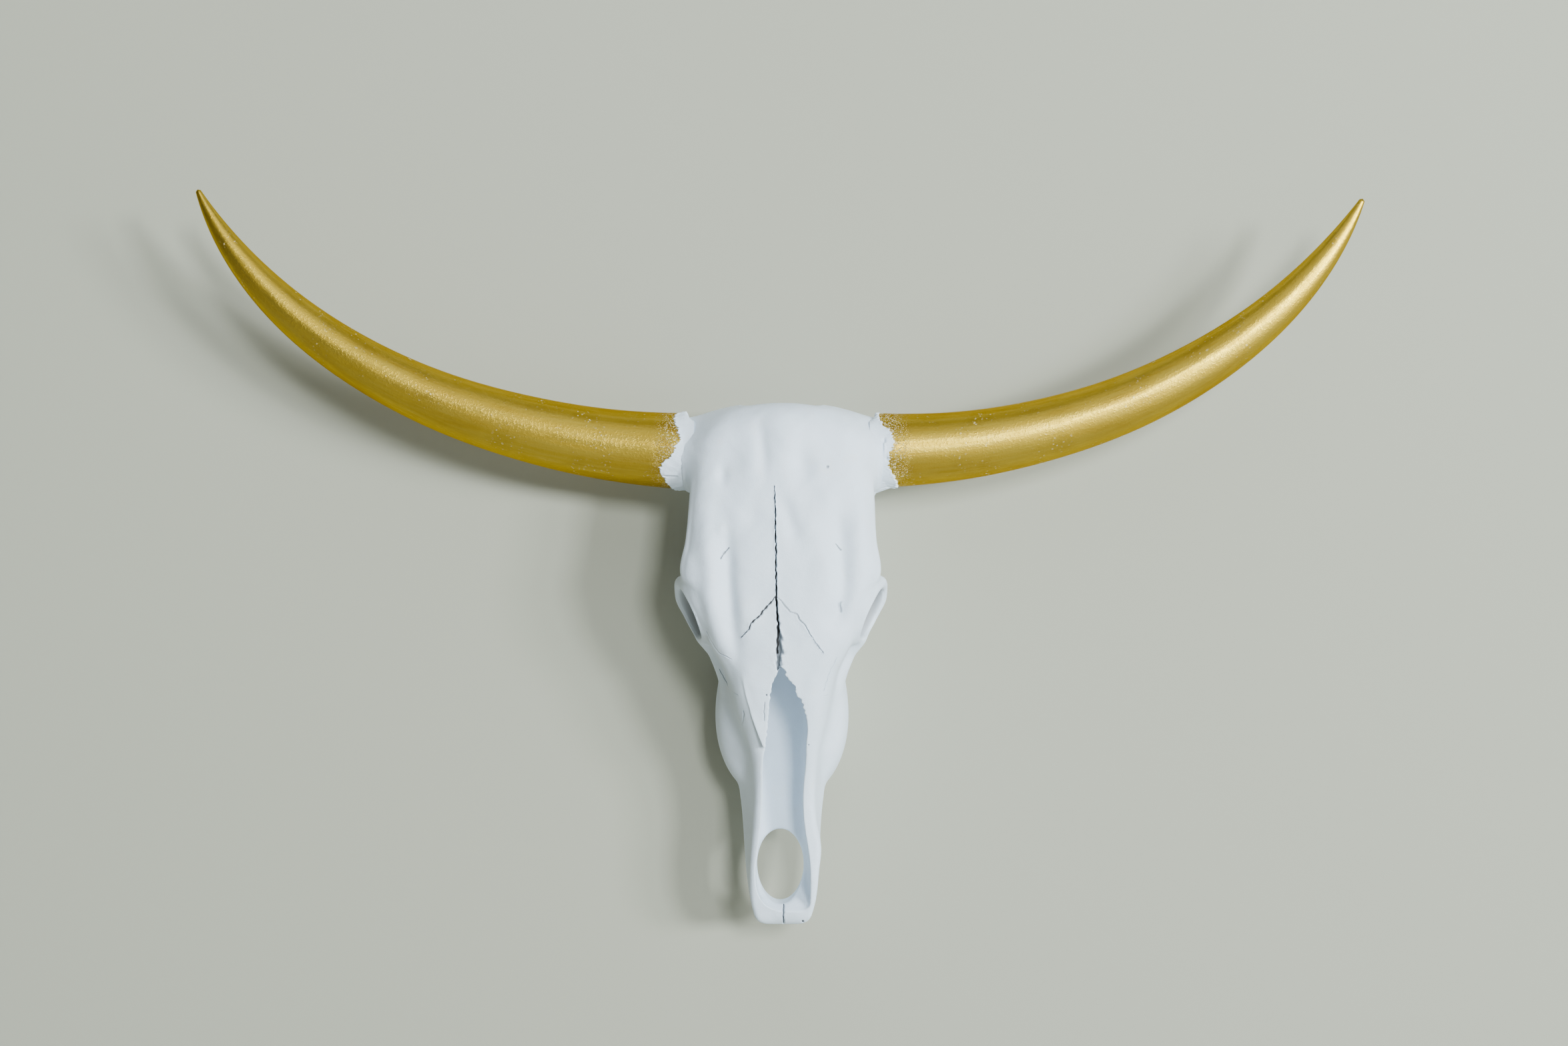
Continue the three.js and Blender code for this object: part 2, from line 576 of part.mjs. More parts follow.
// Where each piece of the skull lies. Earlier pieces take their share first.
const PIECE_BOXES = {
  horn_core_left: mirrored(CORE_BOX),
  horn_core_right: CORE_BOX,
  orbit_left: mirrored(ORBIT_BOX),
  orbit_right: ORBIT_BOX,
  cheek_arch_left: mirrored(ARCH_BOX),
  cheek_arch_right: ARCH_BOX,
  nasal_left: spanning(NASAL_BOX, -NASAL_BOX.reach, CUT.crackX),
  nasal_right: spanning(NASAL_BOX, CUT.crackX + PART_GAP, NASAL_BOX.reach),
  premaxilla_left: spanning(PREMAXILLA_BOX, -PREMAXILLA_BOX.reach, 0),
  premaxilla_right: spanning(PREMAXILLA_BOX, PART_GAP, PREMAXILLA_BOX.reach),
  maxilla_left: spanning(MAXILLA_BOX, -MAXILLA_BOX.reach, 0),
  maxilla_right: spanning(MAXILLA_BOX, PART_GAP, MAXILLA_BOX.reach),
  cranium: CRANIUM_BOX,
};

// The skull parted by thin cuts into named pieces.
function skullPieces() {
  const pieces = new Map();
  let taken = null;
  for (const [name, box] of Object.entries(PIECE_BOXES)) {
    const share = skullPiece(box);
    pieces.set(name, wholePiece(taken ? share.subtract(taken) : share));
    const grown = block(box, PART_GAP);
    taken = taken ? taken.add(grown) : grown;
  }
  pieces.set("cranium", pieces.get("cranium").subtract(hangerPocket()));
  return pieces;
}

// Direction of a horn's centre line at the share t of its length.
function hornHeading(horn, t) {
  const rise = THREE.MathUtils.degToRad(horn.start + horn.growth * t + horn.curl * t ** 3);
  const forward = THREE.MathUtils.degToRad(HORN_FORWARD.start + HORN_FORWARD.growth * t);
  return new THREE.Vector3(Math.cos(rise), -Math.tan(forward), Math.sin(rise)).normalize();
}

function hornRadius(horn, t) {
  const body = 1 - horn.taper * t - (1 - horn.taper) * t ** horn.blunt;
  return HORN_TIP_RADIUS + (horn.radius - HORN_TIP_RADIUS) * body;
}

// Centre, direction and radius of each ring of a horn, from its flat base to its tip.
function hornRings(horn) {
  const centre = new THREE.Vector3(HORN_START_X, -HORN_DEPTH, horn.z);
  const rings = [];
  for (let i = 0; i <= HORN_RINGS; i += 1) {
    const t = i / HORN_RINGS;
    const heading = i === 0 ? new THREE.Vector3(1, 0, 0) : hornHeading(horn, t);
    rings.push({ centre: centre.clone(), heading, radius: hornRadius(horn, t) });
    centre.addScaledVector(hornHeading(horn, t + 0.5 / HORN_RINGS), horn.length / HORN_RINGS);
  }
  return rings;
}

// A closed horn swept through its rings, drawn on the +X side and mirrored for the other.
function hornGeometry(horn, side) {
  const positions = [];
  const faces = [];
  const rings = hornRings(horn);
  for (const { centre, heading, radius } of rings) {
    const up = new THREE.Vector3(0, -1, 0).cross(heading).normalize();
    const out = heading.clone().cross(up);
    for (let s = 0; s < HORN_SIDES; s += 1) {
      const turn = (2 * Math.PI * s) / HORN_SIDES;
      const point = centre.clone().addScaledVector(up, radius * Math.cos(turn));
      point.addScaledVector(out, radius * Math.sin(turn));
      positions.push(side * point.x, point.y, point.z);
    }
  }
  const last = rings[rings.length - 1];
  const tip = last.centre.clone().addScaledVector(last.heading, 0.8 * last.radius);
  const base = rings[0].centre;
  positions.push(side * base.x, base.y, base.z, side * tip.x, tip.y, tip.z);
  const baseIndex = rings.length * HORN_SIDES;
  const tipRing = baseIndex - HORN_SIDES;
  for (let s = 0; s < HORN_SIDES; s += 1) {
    const next = (s + 1) % HORN_SIDES;
    for (let row = 0; row < tipRing; row += HORN_SIDES) {
      const [a, b, c, d] = [row + s, row + next, row + HORN_SIDES + next, row + HORN_SIDES + s];
      faces.push([a, b, c], [a, c, d]);
    }
    faces.push([baseIndex, next, s], [baseIndex + 1, tipRing + s, tipRing + next]);
  }
  const outward = side > 0 ? faces : faces.map(([a, b, c]) => [a, c, b]);
  return new THREE.BufferGeometry()
    .setAttribute("position", new THREE.Float32BufferAttribute(positions, 3))
    .setIndex(outward.flat());
}

// Outline of the hanging plate with its keyhole, seen from the front.
function plateShape() {
  const [w, h, c] = [PLATE.width / 2, PLATE.height / 2, PLATE.corner];
  const shape = new THREE.Shape();
  shape.moveTo(w - c, -h);
  shape.absarc(w - c, c - h, c, -Math.PI / 2, 0);
  shape.absarc(w - c, h - c, c, 0, Math.PI / 2);
  shape.absarc(c - w, h - c, c, Math.PI / 2, Math.PI);
  shape.absarc(c - w, c - h, c, Math.PI, 1.5 * Math.PI);
  shape.closePath();
  shape.holes.push(keyholePath());
  return shape;
}

// Round hole with a narrower slot above it, which drops over the head of a wall screw.
function keyholePath() {
  const reach = Math.asin(KEYHOLE.slotRadius / KEYHOLE.headRadius);
  const path = new THREE.Path();
  path.absarc(0, KEYHOLE.slotTopZ, KEYHOLE.slotRadius, Math.PI, 0, true);
  path.absarc(0, KEYHOLE.headZ, KEYHOLE.headRadius, Math.PI / 2 - reach, Math.PI / 2 + reach, true);
  path.closePath();
  return path;
}

// Outline of a countersunk wood screw that points into the skull, grown by a margin.
function screwProfile(margin) {
  const { headRadius, headHeight, sink, shankRadius, pointHeight, length } = SCREW;
  return [
    [0, -length - margin],
    [shankRadius + margin, pointHeight - length],
    [shankRadius + margin, -headHeight],
    [headRadius + margin, -sink],
  ];
}

// Turns an outline round the axis of the upper (1) or lower (-1) screw.
function turned(profile, side) {
  const outline = profile.map(([radius, y]) => new THREE.Vector2(radius, y));
  return new THREE.LatheGeometry(outline, 10).translate(0, 0, PLATE.z + side * SCREW.offset);
}

function screw(side) {
  return turned([...screwProfile(0), [0, -SCREW.sink]], side);
}

// The bore for a screw, open towards the wall.
function screwBore(side) {
  const mouth = SCREW.headRadius + SCREW.clearance;
  return solid(turned([...screwProfile(SCREW.clearance), [mouth, 1], [0, 1]], side));
}

function screwBores() {
  return screwBore(-1).add(screwBore(1));
}

function hangerPlate() {
  const options = { depth: PLATE.thickness, bevelEnabled: false, curveSegments: 4 };
  const flat = new THREE.ExtrudeGeometry(plateShape(), options);
  return solid(flat.rotateX(Math.PI / 2).translate(0, 0, PLATE.z)).subtract(screwBores());
}

// Room in the back of the skull for the plate, its screws and the head of the wall screw.
function hangerPocket() {
  const w = PLATE.width / 2 + PART_GAP;
  const h = PLATE.height / 2 + PART_GAP;
  const seat = { x: [-w, w], depth: [-5, PLATE.thickness + PART_GAP], z: [PLATE.z - h, PLATE.z + h] };
  const wide = KEYHOLE.headRadius + 1;
  const low = PLATE.z + KEYHOLE.headZ - wide;
  const high = PLATE.z + KEYHOLE.slotTopZ + wide;
  const head = { x: [-wide, wide], depth: [-5, KEYHOLE.pocketDepth], z: [low, high] };
  return block(seat).add(block(head)).add(screwBores());
}

// ---------------------------------------------------------------- the assembled part
const resin = () => new THREE.MeshStandardMaterial({ color: 0xdde3ea, roughness: 0.55, metalness: 0 });
const gold = () => new THREE.MeshStandardMaterial({ color: 0xb08a34, roughness: 0.38, metalness: 1 });
const steel = () => new THREE.MeshStandardMaterial({ color: 0xb4b8bc, roughness: 0.35, metalness: 1 });

function named(name, geometry, material) {
  const mesh = new THREE.Mesh(geometry, material);
  mesh.name = name;
  return mesh;
}

function longhornSkull() {
  const group = new THREE.Group();
  for (const [name, piece] of skullPieces()) group.add(named(name, geometryOf(piece), resin()));
  for (const [name, side] of Object.entries({ left: -1, right: 1 })) {
    group.add(named(`horn_${name}`, hornGeometry(HORNS[name], side), gold()));
  }
  group.add(named("hanger_plate", geometryOf(hangerPlate()), steel()));
  for (const [name, side] of Object.entries({ upper: 1, lower: -1 })) {
    group.add(named(`hanger_screw_${name}`, screw(side), steel()));
  }
  return group;
}

export default longhornSkull();
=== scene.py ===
"""A life-size longhorn steer skull cast in resin, with gilded horns, as it hangs on a wall.

The CAD solids give the size and place of every piece. This script rebuilds their faceted surface as
one smooth casting with its relief, cracks and broken edges, sweeps the two horns, lays the torn edges
of the casting over them, and gives each its finish. Forms are worked out in millimetres and made in
metres. Left is -X and right is +X, depth is the distance out of the wall, and +Z is up.
"""

import logging
import math
from dataclasses import dataclass
from enum import Enum

import bmesh
import bpy
import numpy as np
from mathutils import Matrix, Vector


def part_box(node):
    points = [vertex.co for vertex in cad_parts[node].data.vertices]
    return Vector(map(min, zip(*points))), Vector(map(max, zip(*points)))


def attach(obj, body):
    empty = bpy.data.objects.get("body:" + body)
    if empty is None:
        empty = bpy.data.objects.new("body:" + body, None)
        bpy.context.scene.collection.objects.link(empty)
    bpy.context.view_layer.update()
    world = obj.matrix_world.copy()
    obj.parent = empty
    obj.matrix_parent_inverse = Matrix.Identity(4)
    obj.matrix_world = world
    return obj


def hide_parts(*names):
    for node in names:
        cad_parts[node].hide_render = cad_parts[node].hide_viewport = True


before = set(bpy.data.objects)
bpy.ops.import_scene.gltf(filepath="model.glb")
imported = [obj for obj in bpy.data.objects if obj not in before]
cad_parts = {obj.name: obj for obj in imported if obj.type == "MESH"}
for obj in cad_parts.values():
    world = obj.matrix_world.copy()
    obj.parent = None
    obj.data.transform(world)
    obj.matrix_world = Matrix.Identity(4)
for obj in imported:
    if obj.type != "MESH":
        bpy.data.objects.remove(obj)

log = logging.getLogger("longhorn")
Array = np.ndarray
Rows = list[tuple[float, float]] | tuple[tuple[float, float], ...]
MM = 0.001


class Side(Enum):
    """The two sides of the skull, as seen from the front."""

    LEFT = -1
    RIGHT = 1


# ------------------------------------------------------------------------------- smooth forms
def smooth_min(a: Array, b: Array, radius: float | Array) -> Array:
    """Joins two forms with a soft fillet.

    Args:
        a: Distance to the first form at each point.
        b: Distance to the second form.
        radius: How far the fillet reaches.

    Returns:
        Distance to the joined form.
    """
    near = np.maximum(radius - np.abs(a - b), 0) / radius
    return np.minimum(a, b) - near * near * radius / 4


def smooth_max(a: Array, b: Array, radius: float | Array) -> Array:
    """Keeps what two forms share, with a soft edge.

    Args:
        a: Distance to the first form at each point.
        b: Distance to the second form.
        radius: How far the rounding reaches.

    Returns:
        Distance to the shared form.
    """
    return -smooth_min(-a, -b, radius)


def mix(a: float | Array, b: float | Array, share: float | Array) -> Array:
    """Returns the value at that share of the way from a to b."""
    return a + (b - a) * share


def ease(value: Array, start: float, end: float) -> Array:
    """Returns 0 before start, 1 after end, and a smooth step between them."""
    share = np.clip((value - start) / (end - start), 0, 1)
    return share * share * (3 - 2 * share)


class Profile:
    """A smooth curve through values given at a few heights."""

    def __init__(self, rows: Rows) -> None:
        """Sorts the rows and works out the slope at each.

        Args:
            rows: Pairs of height and value, in millimetres.
        """
        self.height, self.value = np.array(sorted(rows), float).T
        steps = np.diff(self.value) / np.diff(self.height)
        self.slope = (np.append(0, steps) + np.append(steps, 0)) / 2

    def at(self, z: Array) -> Array:
        """Returns the curve's value at each height z."""
        row = np.clip(np.searchsorted(self.height, z) - 1, 0, len(self.height) - 2)
        span = self.height[row + 1] - self.height[row]
        share = np.clip((z - self.height[row]) / span, 0, 1)
        eased = share * share * (3 - 2 * share)
        lift = share * (1 - share) * span
        bend = (1 - share) * self.slope[row] - share * self.slope[row + 1]
        return mix(self.value[row], self.value[row + 1], eased) + lift * bend


@dataclass(frozen=True)
class Level:
    """Section of the skull's long body at one height."""

    z: float
    front: float
    back: float
    left: float
    right: float
    side: float
    rear: float
    round: float


LEVELS = [
    Level(60, 132, -6, 86, 86, 80, 56, 34),
    Level(0, 142, -6, 92, 92, 80, 56, 34),
    Level(-45, 148, -6, 96, 96, 74, 54, 30),
    Level(-85, 151, 0, 101.5, 99, 72, 48, 28),
    Level(-118, 153, 10, 105.5, 101.5, 76, 42, 26),
    Level(-136, 153, 14, 92, 89, 76, 42, 24),
    Level(-150, 153, 16, 84, 81, 76, 42, 24),
    Level(-182, 150, 14, 70, 66, 68, 46, 23),
    Level(-212, 144, 8, 51, 50, 58, 52, 24),
    Level(-250, 134, 10, 38, 40, 54, 50, 20),
    Level(-290, 116, 24, 26.5, 33, 46, 40, 10),
    Level(-330, 104, 40, 23.8, 30, 41.5, 40, 6),
    Level(-352, 101, 46, 25.5, 32, 39, 38, 6),
    Level(-382, 99, 49, 28.5, 38, 37, 35, 6),
    Level(-404, 98, 50, 30.5, 36, 35.5, 34, 6),
    Level(-432, 94, 54, 30, 33, 32, 30, 5),
    Level(-470, 80, 60, 22, 24, 24, 22, 5),
]


@dataclass(frozen=True)
class Oval:
    """An ellipsoid that is the same on both sides of the skull."""

    x: float
    depth: float
    z: float
    half_width: float
    half_depth: float
    half_height: float

    def distance(self, x: Array, depth: Array, z: Array) -> Array:
        """Returns the rough distance to its surface, negative inside."""
        across = (np.abs(x) - self.x) / self.half_width
        deep = (depth - self.depth) / self.half_depth
        along = (z - self.z) / self.half_height
        scaled = np.sqrt(across**2 + deep**2 + along**2)
        return (scaled - 1) * min(self.half_width, self.half_depth, self.half_height)


@dataclass(frozen=True)
class RodEnd:
    """One round end of a tapered rod."""

    x: float
    depth: float
    z: float
    radius: float


def tapered_rod(x: Array, depth: Array, z: Array, a: RodEnd, b: RodEnd) -> Array:
    """Measures a rod whose radius changes from one end to the other, on both sides of the skull.

    Args:
        x: Place across the skull.
        depth: Distance out of the wall.
        z: Height.
        a: The rod's first end.
        b: The rod's second end.

    Returns:
        Distance to the rod, negative inside.
    """
    axis = np.array([b.x - a.x, b.depth - a.depth, b.z - a.z])
    rel = np.stack([np.abs(x) - a.x, depth - a.depth, z - a.z], axis=-1)
    share = np.clip(rel @ axis / (axis @ axis), 0, 1)
    off = np.linalg.norm(rel - share[..., None] * axis, axis=-1)
    return off - mix(a.radius, b.radius, share)


@dataclass(frozen=True)
class Blends:
    """How softly each form runs into the ones before it."""

    crown: float = 26
    back: float = 8
    muzzle: float = 12
    cheek: float = 14
    cheek_low: float = 4
    cheek_end: float = 4
    temple: float = 14
    rim: float = 8
    cheekbone: float = 10
    boss: float = 22
    base: float = 10
    vault: float = 8
    socket: float = 3
    channel: float = 10
    edge: float = 1.4
    wall: float = 2


@dataclass(frozen=True)
class EyeSocket:
    """Ring of bone round the eye, and the bowl inside it."""

    x: float = 84
    depth: float = 104
    z: float = -152
    rim_radius: float = 28.4
    rim_thickness: float = 6.6
    forward: float = 0.25
    down: float = 0.4
    right_inset: float = 2.0
    spur: float = 1.8
    spur_z: float = -145
    spur_reach: float = 10
    spur_rear: float = 96
    spur_front: float = 116
    hollow_inset: float = 4.5
    hollow_forward: float = 0.4
    hollow_radius: float = 25
    bowl_start: float = 8
    bowl_stretch: float = 0.75

    def place(self, x: Array, depth: Array, z: Array, inset: float,
              forward: float) -> tuple[Array, Array]:
        """Measures from an axis that looks outwards, a little forward and down.

        Args:
            x: Place across the skull.
            depth: Distance out of the wall.
            z: Height.
            inset: How much nearer the middle the axis starts than the ring's centre.
            forward: How far it turns forward, in radians.

        Returns:
            The distance along the axis and the distance away from it.
        """
        across = np.abs(x) + np.where(x > 0, self.right_inset, 0) + inset - self.x
        rel = np.stack([across, depth - self.depth, z - self.z], axis=-1)
        axis = np.array([math.cos(forward), math.sin(forward), -math.tan(self.down)])
        axis /= np.linalg.norm(axis)
        along = rel @ axis
        return along, np.sqrt(np.maximum((rel**2).sum(-1) - along**2, 0))

    def rim(self, x: Array, depth: Array, z: Array) -> Array:
        """Returns the distance to the ring of bone, which is thickest at its outer corner."""
        along, away = self.place(x, depth, z, 0, self.forward)
        rear = 1 - ease(depth, self.spur_rear, self.spur_front)
        spur = self.spur * rear * np.exp(-(((z - self.spur_z) / self.spur_reach) ** 2))
        return np.hypot(along, away - self.rim_radius) - (self.rim_thickness + spur)

    def hollow(self, x: Array, depth: Array, z: Array) -> Array:
        """Returns the distance to the socket's hollow, negative inside it."""
        along, away = self.place(x, depth, z, self.hollow_inset, self.hollow_forward)
        inward = np.minimum(along + self.bowl_start, 0) * self.bowl_stretch
        return np.maximum(np.hypot(inward, away) - self.hollow_radius, along - self.rim_radius)


@dataclass(frozen=True)
class Boss:
    """The bone core that carries a horn and swells towards the skull and the collar."""

    start_x: float = 50
    neck_x: float = 90
    flare_span: float = 40
    flare: float = 4
    end_x: float = 94
    end_round: float = 5
    depth: float = 76
    z: float = -1
    radius: float = 36.6
    top_radius: float = 33.6
    top_start_z: float = 4
    top_end_z: float = 26

    def distance(self, x: Array, depth: Array, z: Array) -> Array:
        """Returns the distance to its surface, negative inside."""
        before = np.clip((self.neck_x - np.abs(x)) / self.flare_span, 0, 1)
        radius = mix(self.radius, self.top_radius, ease(z, self.top_start_z, self.top_end_z))
        away = np.hypot(depth - self.depth, z - self.z) - radius - self.flare * before**2
        outer = smooth_max(away, np.abs(x) - self.end_x, self.end_round)
        return np.maximum(outer, self.start_x - np.abs(x))


@dataclass(frozen=True)
class NoseRow:
    """Where the two broken edges of the nose opening lie at one height."""

    z: float
    left: float
    right: float


NOSE_ROWS = [
    NoseRow(-150, 12, -16),
    NoseRow(-199, 2, -7),
    NoseRow(-207, -3.6, 2.6),
    NoseRow(-211, -5.0, 4.2),
    NoseRow(-219.5, -8.6, 8.2),
    NoseRow(-228, -10.8, 13.2),
    NoseRow(-236, -11.7, 17.2),
    NoseRow(-244, -12.8, 19.6),
    NoseRow(-255, -13.3, 23.3),
    NoseRow(-266, -14.2, 24.2),
    NoseRow(-277, -15.4, 23.3),
    NoseRow(-295, -18, 22.8),
    NoseRow(-330, -18.6, 20.2),
    NoseRow(-352, -19.6, 20.9),
    NoseRow(-400, -24.4, 27.2),
    NoseRow(-422, -24, 27.4),
    NoseRow(-436, -17, 27),
    NoseRow(-447, -4, 25.5),
    NoseRow(-470, 0, 25),
]


class SkullForm:
    """The skull's surface as a distance field in millimetres, negative inside."""

    CROWN_TOP = 47
    CROWN_SIDE_DROP = 21
    CROWN_DEPTH_DROP = 8
    CROWN_HALF_WIDTH = 88
    CROWN_DEPTH = 82
    CROWN_HALF_DEPTH = 60
    FOREHEAD_BOW = 9
    SIDE_DEPTH = 58
    MUZZLE_END_Z = -459
    BONE_THICKNESS = 6.5
    ROOM_TOP_Z = -201
    ROOM_HALF_WIDTH = 24
    CHEEK_END_Z = -331
    CHEEK_CORNER_Z = (-312, -285)
    SOCKET_SKIN = (0.6, 2.4)
    SOCKET_DEPTH = (-14, 6)
    EDGE_CHIPS = ((1.9, 0.5), (0.83, 0.3))
    CHIPS_START = (204, 212)
    LEFT_CHIPS = (0.8, 275, 300)
    RIGHT_CHIPS = (2.2, 240, 262)
    TIP_Z = (-205, -282)
    TIP_LENGTH = 77
    TIP_DEPTH = (142, 127)
    TIP_OUTER_X = (-38, -17.6)
    TIP_CURVE = 1.6
    NOSE_FLOOR = (
        (-190, 96), (-215, 74), (-260, 64), (-370, 60), (-420, 65), (-433, 80), (-442, 88), (-447, 93),
        (-453, 112),
    )
    HOLE = {"x": -1.6, "z": -403, "half_width": 22.8, "half_height": 34.6, "front_depth": 100}

    def __init__(self) -> None:
        """Sets the sizes of every form."""
        names = ("front", "back", "left", "right", "side", "rear", "round")
        rows = {name: [(row.z, getattr(row, name)) for row in LEVELS] for name in names}
        self.levels = {name: Profile(pairs) for name, pairs in rows.items()}
        self.nose_left = Profile([(row.z, row.left) for row in NOSE_ROWS])
        self.nose_right = Profile([(row.z, row.right) for row in NOSE_ROWS])
        self.nose_floor = Profile(self.NOSE_FLOOR)
        self.eye = EyeSocket()
        self.boss = Boss()
        self.blend = Blends()
        self.cheek_wall = Oval(20.7, 36, -258, 45, 50, 77)
        self.temple = Oval(104, 74, -82, 38, 44, 46)
        self.base_hollow = Oval(42, -4, -134, 24, 40, 46)
        self.vault = Oval(0, -6, -270, 26, 44, 84)
        self.cheekbone_top = RodEnd(68, 88, -182, 8)
        self.cheekbone_end = RodEnd(50, 74, -226, 8)
        self.arch_end = RodEnd(54, 20, -122, 11)

    def face(self, x: Array, depth: Array, z: Array) -> Array:
        """Returns the distance to the forehead, brain case, nose ridge and muzzle as one body."""
        at = {name: profile.at(z) for name, profile in self.levels.items()}
        across = np.abs(x) / self.CROWN_HALF_WIDTH
        forward = np.clip((at["front"] - depth) / (at["front"] - self.SIDE_DEPTH), 0, 1)
        backward = np.clip((self.SIDE_DEPTH - depth) / self.SIDE_DEPTH, 0, 1)
        front_width = mix(np.where(x < 0, at["left"], at["right"]), at["side"], forward)
        back_width = mix(at["side"], at["rear"], backward)
        half_width = np.where(depth > self.SIDE_DEPTH, front_width, back_width)
        bow = self.FOREHEAD_BOW * across**2
        behind = ((depth - self.CROWN_DEPTH) / self.CROWN_HALF_DEPTH) ** 2
        crown = self.CROWN_TOP - self.CROWN_SIDE_DROP * across**2 - self.CROWN_DEPTH_DROP * behind
        form = smooth_max(np.abs(x) - half_width, depth - at["front"] + bow, at["round"])
        form = smooth_max(form, at["back"] - depth, self.blend.back)
        form = smooth_max(form, z - crown, self.blend.crown)
        return smooth_max(form, self.MUZZLE_END_Z - z, self.blend.muzzle)

    def cheek(self, x: Array, depth: Array, z: Array) -> Array:
        """Returns the distance to the deep side wall of the upper jaw."""
        wall = self.cheek_wall
        across = np.hypot((np.abs(x) - wall.x) / wall.half_width, (z - wall.z) / wall.half_height)
        scaled = (across**3 + np.abs((depth - wall.depth) / wall.half_depth) ** 3) ** (1 / 3)
        return smooth_max((scaled - 1) * wall.half_width, self.CHEEK_END_Z - z, self.blend.cheek_end)

    def cheekbone(self, x: Array, depth: Array, z: Array) -> Array:
        """Returns the distance to the ridge below the socket and the arch behind it."""
        ridge = tapered_rod(x, depth, z, self.cheekbone_top, self.cheekbone_end)
        arch = tapered_rod(x, depth, z, self.cheekbone_top, self.arch_end)
        return smooth_min(ridge, arch, self.blend.cheekbone)

    def nose_edges(self, z: Array) -> tuple[Array, Array]:
        """Returns the left and right edges of the nose opening, chipped where the bone is broken."""
        start = ease(-z, *self.CHIPS_START)
        (broad, high), (fine, low) = self.EDGE_CHIPS
        left = high * np.sin(z / broad + 2 * np.sin(z / 5.3)) + low * np.sin(z / fine)
        right = high * np.sin(z / (1.3 * broad) + 3 * np.sin(z / 7.1)) + low * np.sin(z / fine + 2)
        strength, fade, end = self.LEFT_CHIPS
        left = strength * start * (1 - ease(-z, fade, end)) * left
        strength, fade, end = self.RIGHT_CHIPS
        right = strength * start * (1 - ease(-z, fade, end)) * right
        return self.nose_left.at(z) + left, self.nose_right.at(z) + right

    def nasal_tip(self, x: Array, depth: Array, z: Array) -> Array:
        """Returns the distance to the free tip of the left nasal bone."""
        top, end = self.TIP_Z
        share = np.clip((top - z) / self.TIP_LENGTH, 0, 1)
        middle = mix(*self.TIP_DEPTH, share) - self.BONE_THICKNESS / 2
        outer = mix(*self.TIP_OUTER_X, share**self.TIP_CURVE)
        across = np.maximum(outer - x, x - self.nose_edges(z)[0])
        thick = np.abs(depth - middle) - self.BONE_THICKNESS / 2
        span = np.maximum(end - z, z - top)
        edge = self.blend.edge
        return smooth_max(smooth_max(across, thick, edge), span, edge)

    def nose(self, x: Array, depth: Array, z: Array) -> Array:
        """Returns the distance to the nose channel and the room under the nasal bones."""
        left, right = self.nose_edges(z)
        opening = np.maximum(left - x, x - right)
        ceiling = self.levels["front"].at(z) - self.BONE_THICKNESS
        across = np.abs(x - (left + right) / 4) - self.ROOM_HALF_WIDTH
        room = np.maximum(smooth_max(across, depth - ceiling, self.blend.channel), z - self.ROOM_TOP_Z)
        floor = self.nose_floor.at(z)
        return smooth_max(np.minimum(opening, room), floor - depth, self.blend.channel)

    def palate(self, x: Array, depth: Array, z: Array) -> Array:
        """Returns the distance to the oval hole through the palate."""
        hole = self.HOLE
        across = (x - hole["x"]) / hole["half_width"]
        along = (z - hole["z"]) / hole["half_height"]
        away = (np.hypot(across, along) - 1) * hole["half_width"]
        return np.maximum(away, depth - hole["front_depth"])

    def distance(self, points: Array) -> Array:
        """Measures the whole casting.

        Args:
            points: An array of n by 3 places in millimetres.

        Returns:
            The distance to the surface at each point, negative inside.
        """
        x, depth, z = points[:, 0], -points[:, 1], points[:, 2]
        blend = self.blend
        fillet = mix(blend.cheek_low, blend.cheek, ease(z, *self.CHEEK_CORNER_Z))
        form = smooth_min(self.face(x, depth, z), self.cheek(x, depth, z), fillet)
        form = smooth_max(form, -self.temple.distance(x, depth, z), blend.temple)
        form = smooth_min(form, self.eye.rim(x, depth, z), blend.rim)
        form = smooth_min(form, self.cheekbone(x, depth, z), blend.cheekbone)
        form = smooth_min(form, self.boss.distance(x, depth, z), blend.boss)
        form = smooth_max(form, -self.base_hollow.distance(x, depth, z), blend.base)
        form = smooth_max(form, -self.vault.distance(x, depth, z), blend.vault)
        form = smooth_max(form, -self.eye.hollow(x, depth, z), blend.socket)
        form = smooth_max(form, -self.nose(x, depth, z), blend.edge)
        form = smooth_min(form, self.nasal_tip(x, depth, z), blend.edge)
        form = smooth_max(form, -self.palate(x, depth, z), 2 * blend.edge)
        return smooth_max(form, -depth, blend.wall)

    def socket_shade(self, points: Array) -> Array:
        """Returns how far each place lies inside an eye socket, from 0 to 1, which sets how much painted
        shade it gets.
        """
        x, depth, z = points[:, 0], -points[:, 1], points[:, 2]
        along, _ = self.eye.place(x, depth, z, self.eye.hollow_inset, self.eye.hollow_forward)
        inside = 1 - ease(self.eye.hollow(x, depth, z), *self.SOCKET_SKIN)
        return inside * ease(-along, *self.SOCKET_DEPTH)

    def slope(self, points: Array, value: Array) -> Array:
        """Measures how the distance grows in each direction.

        Args:
            points: An array of n by 3 places in millimetres.
            value: The distance at each of them.

        Returns:
            The gradient at each point.
        """
        step = 0.15
        moved = [self.distance(points + step * np.eye(3)[axis]) for axis in range(3)]
        return (np.stack(moved, axis=-1) - value[:, None]) / step

    def project(self, points: Array, rounds: int, reach: float = 1.5) -> Array:
        """Moves points onto the surface.

        Args:
            points: An array of n by 3 places in millimetres.
            rounds: How many steps each point takes.
            reach: The longest step, in millimetres.

        Returns:
            The points on the surface.
        """
        for _ in range(rounds):
            value = self.distance(points)
            slope = self.slope(points, value)
            step = value / np.maximum((slope**2).sum(-1), 0.1)
            points = points - np.clip(step, -reach, reach)[:, None] * slope
        return points

    def normals(self, points: Array) -> Array:
        """Returns the outward direction of the surface at each point."""
        slope = self.slope(points, self.distance(points))
        return slope / np.maximum(np.linalg.norm(slope, axis=-1), 1e-6)[:, None]


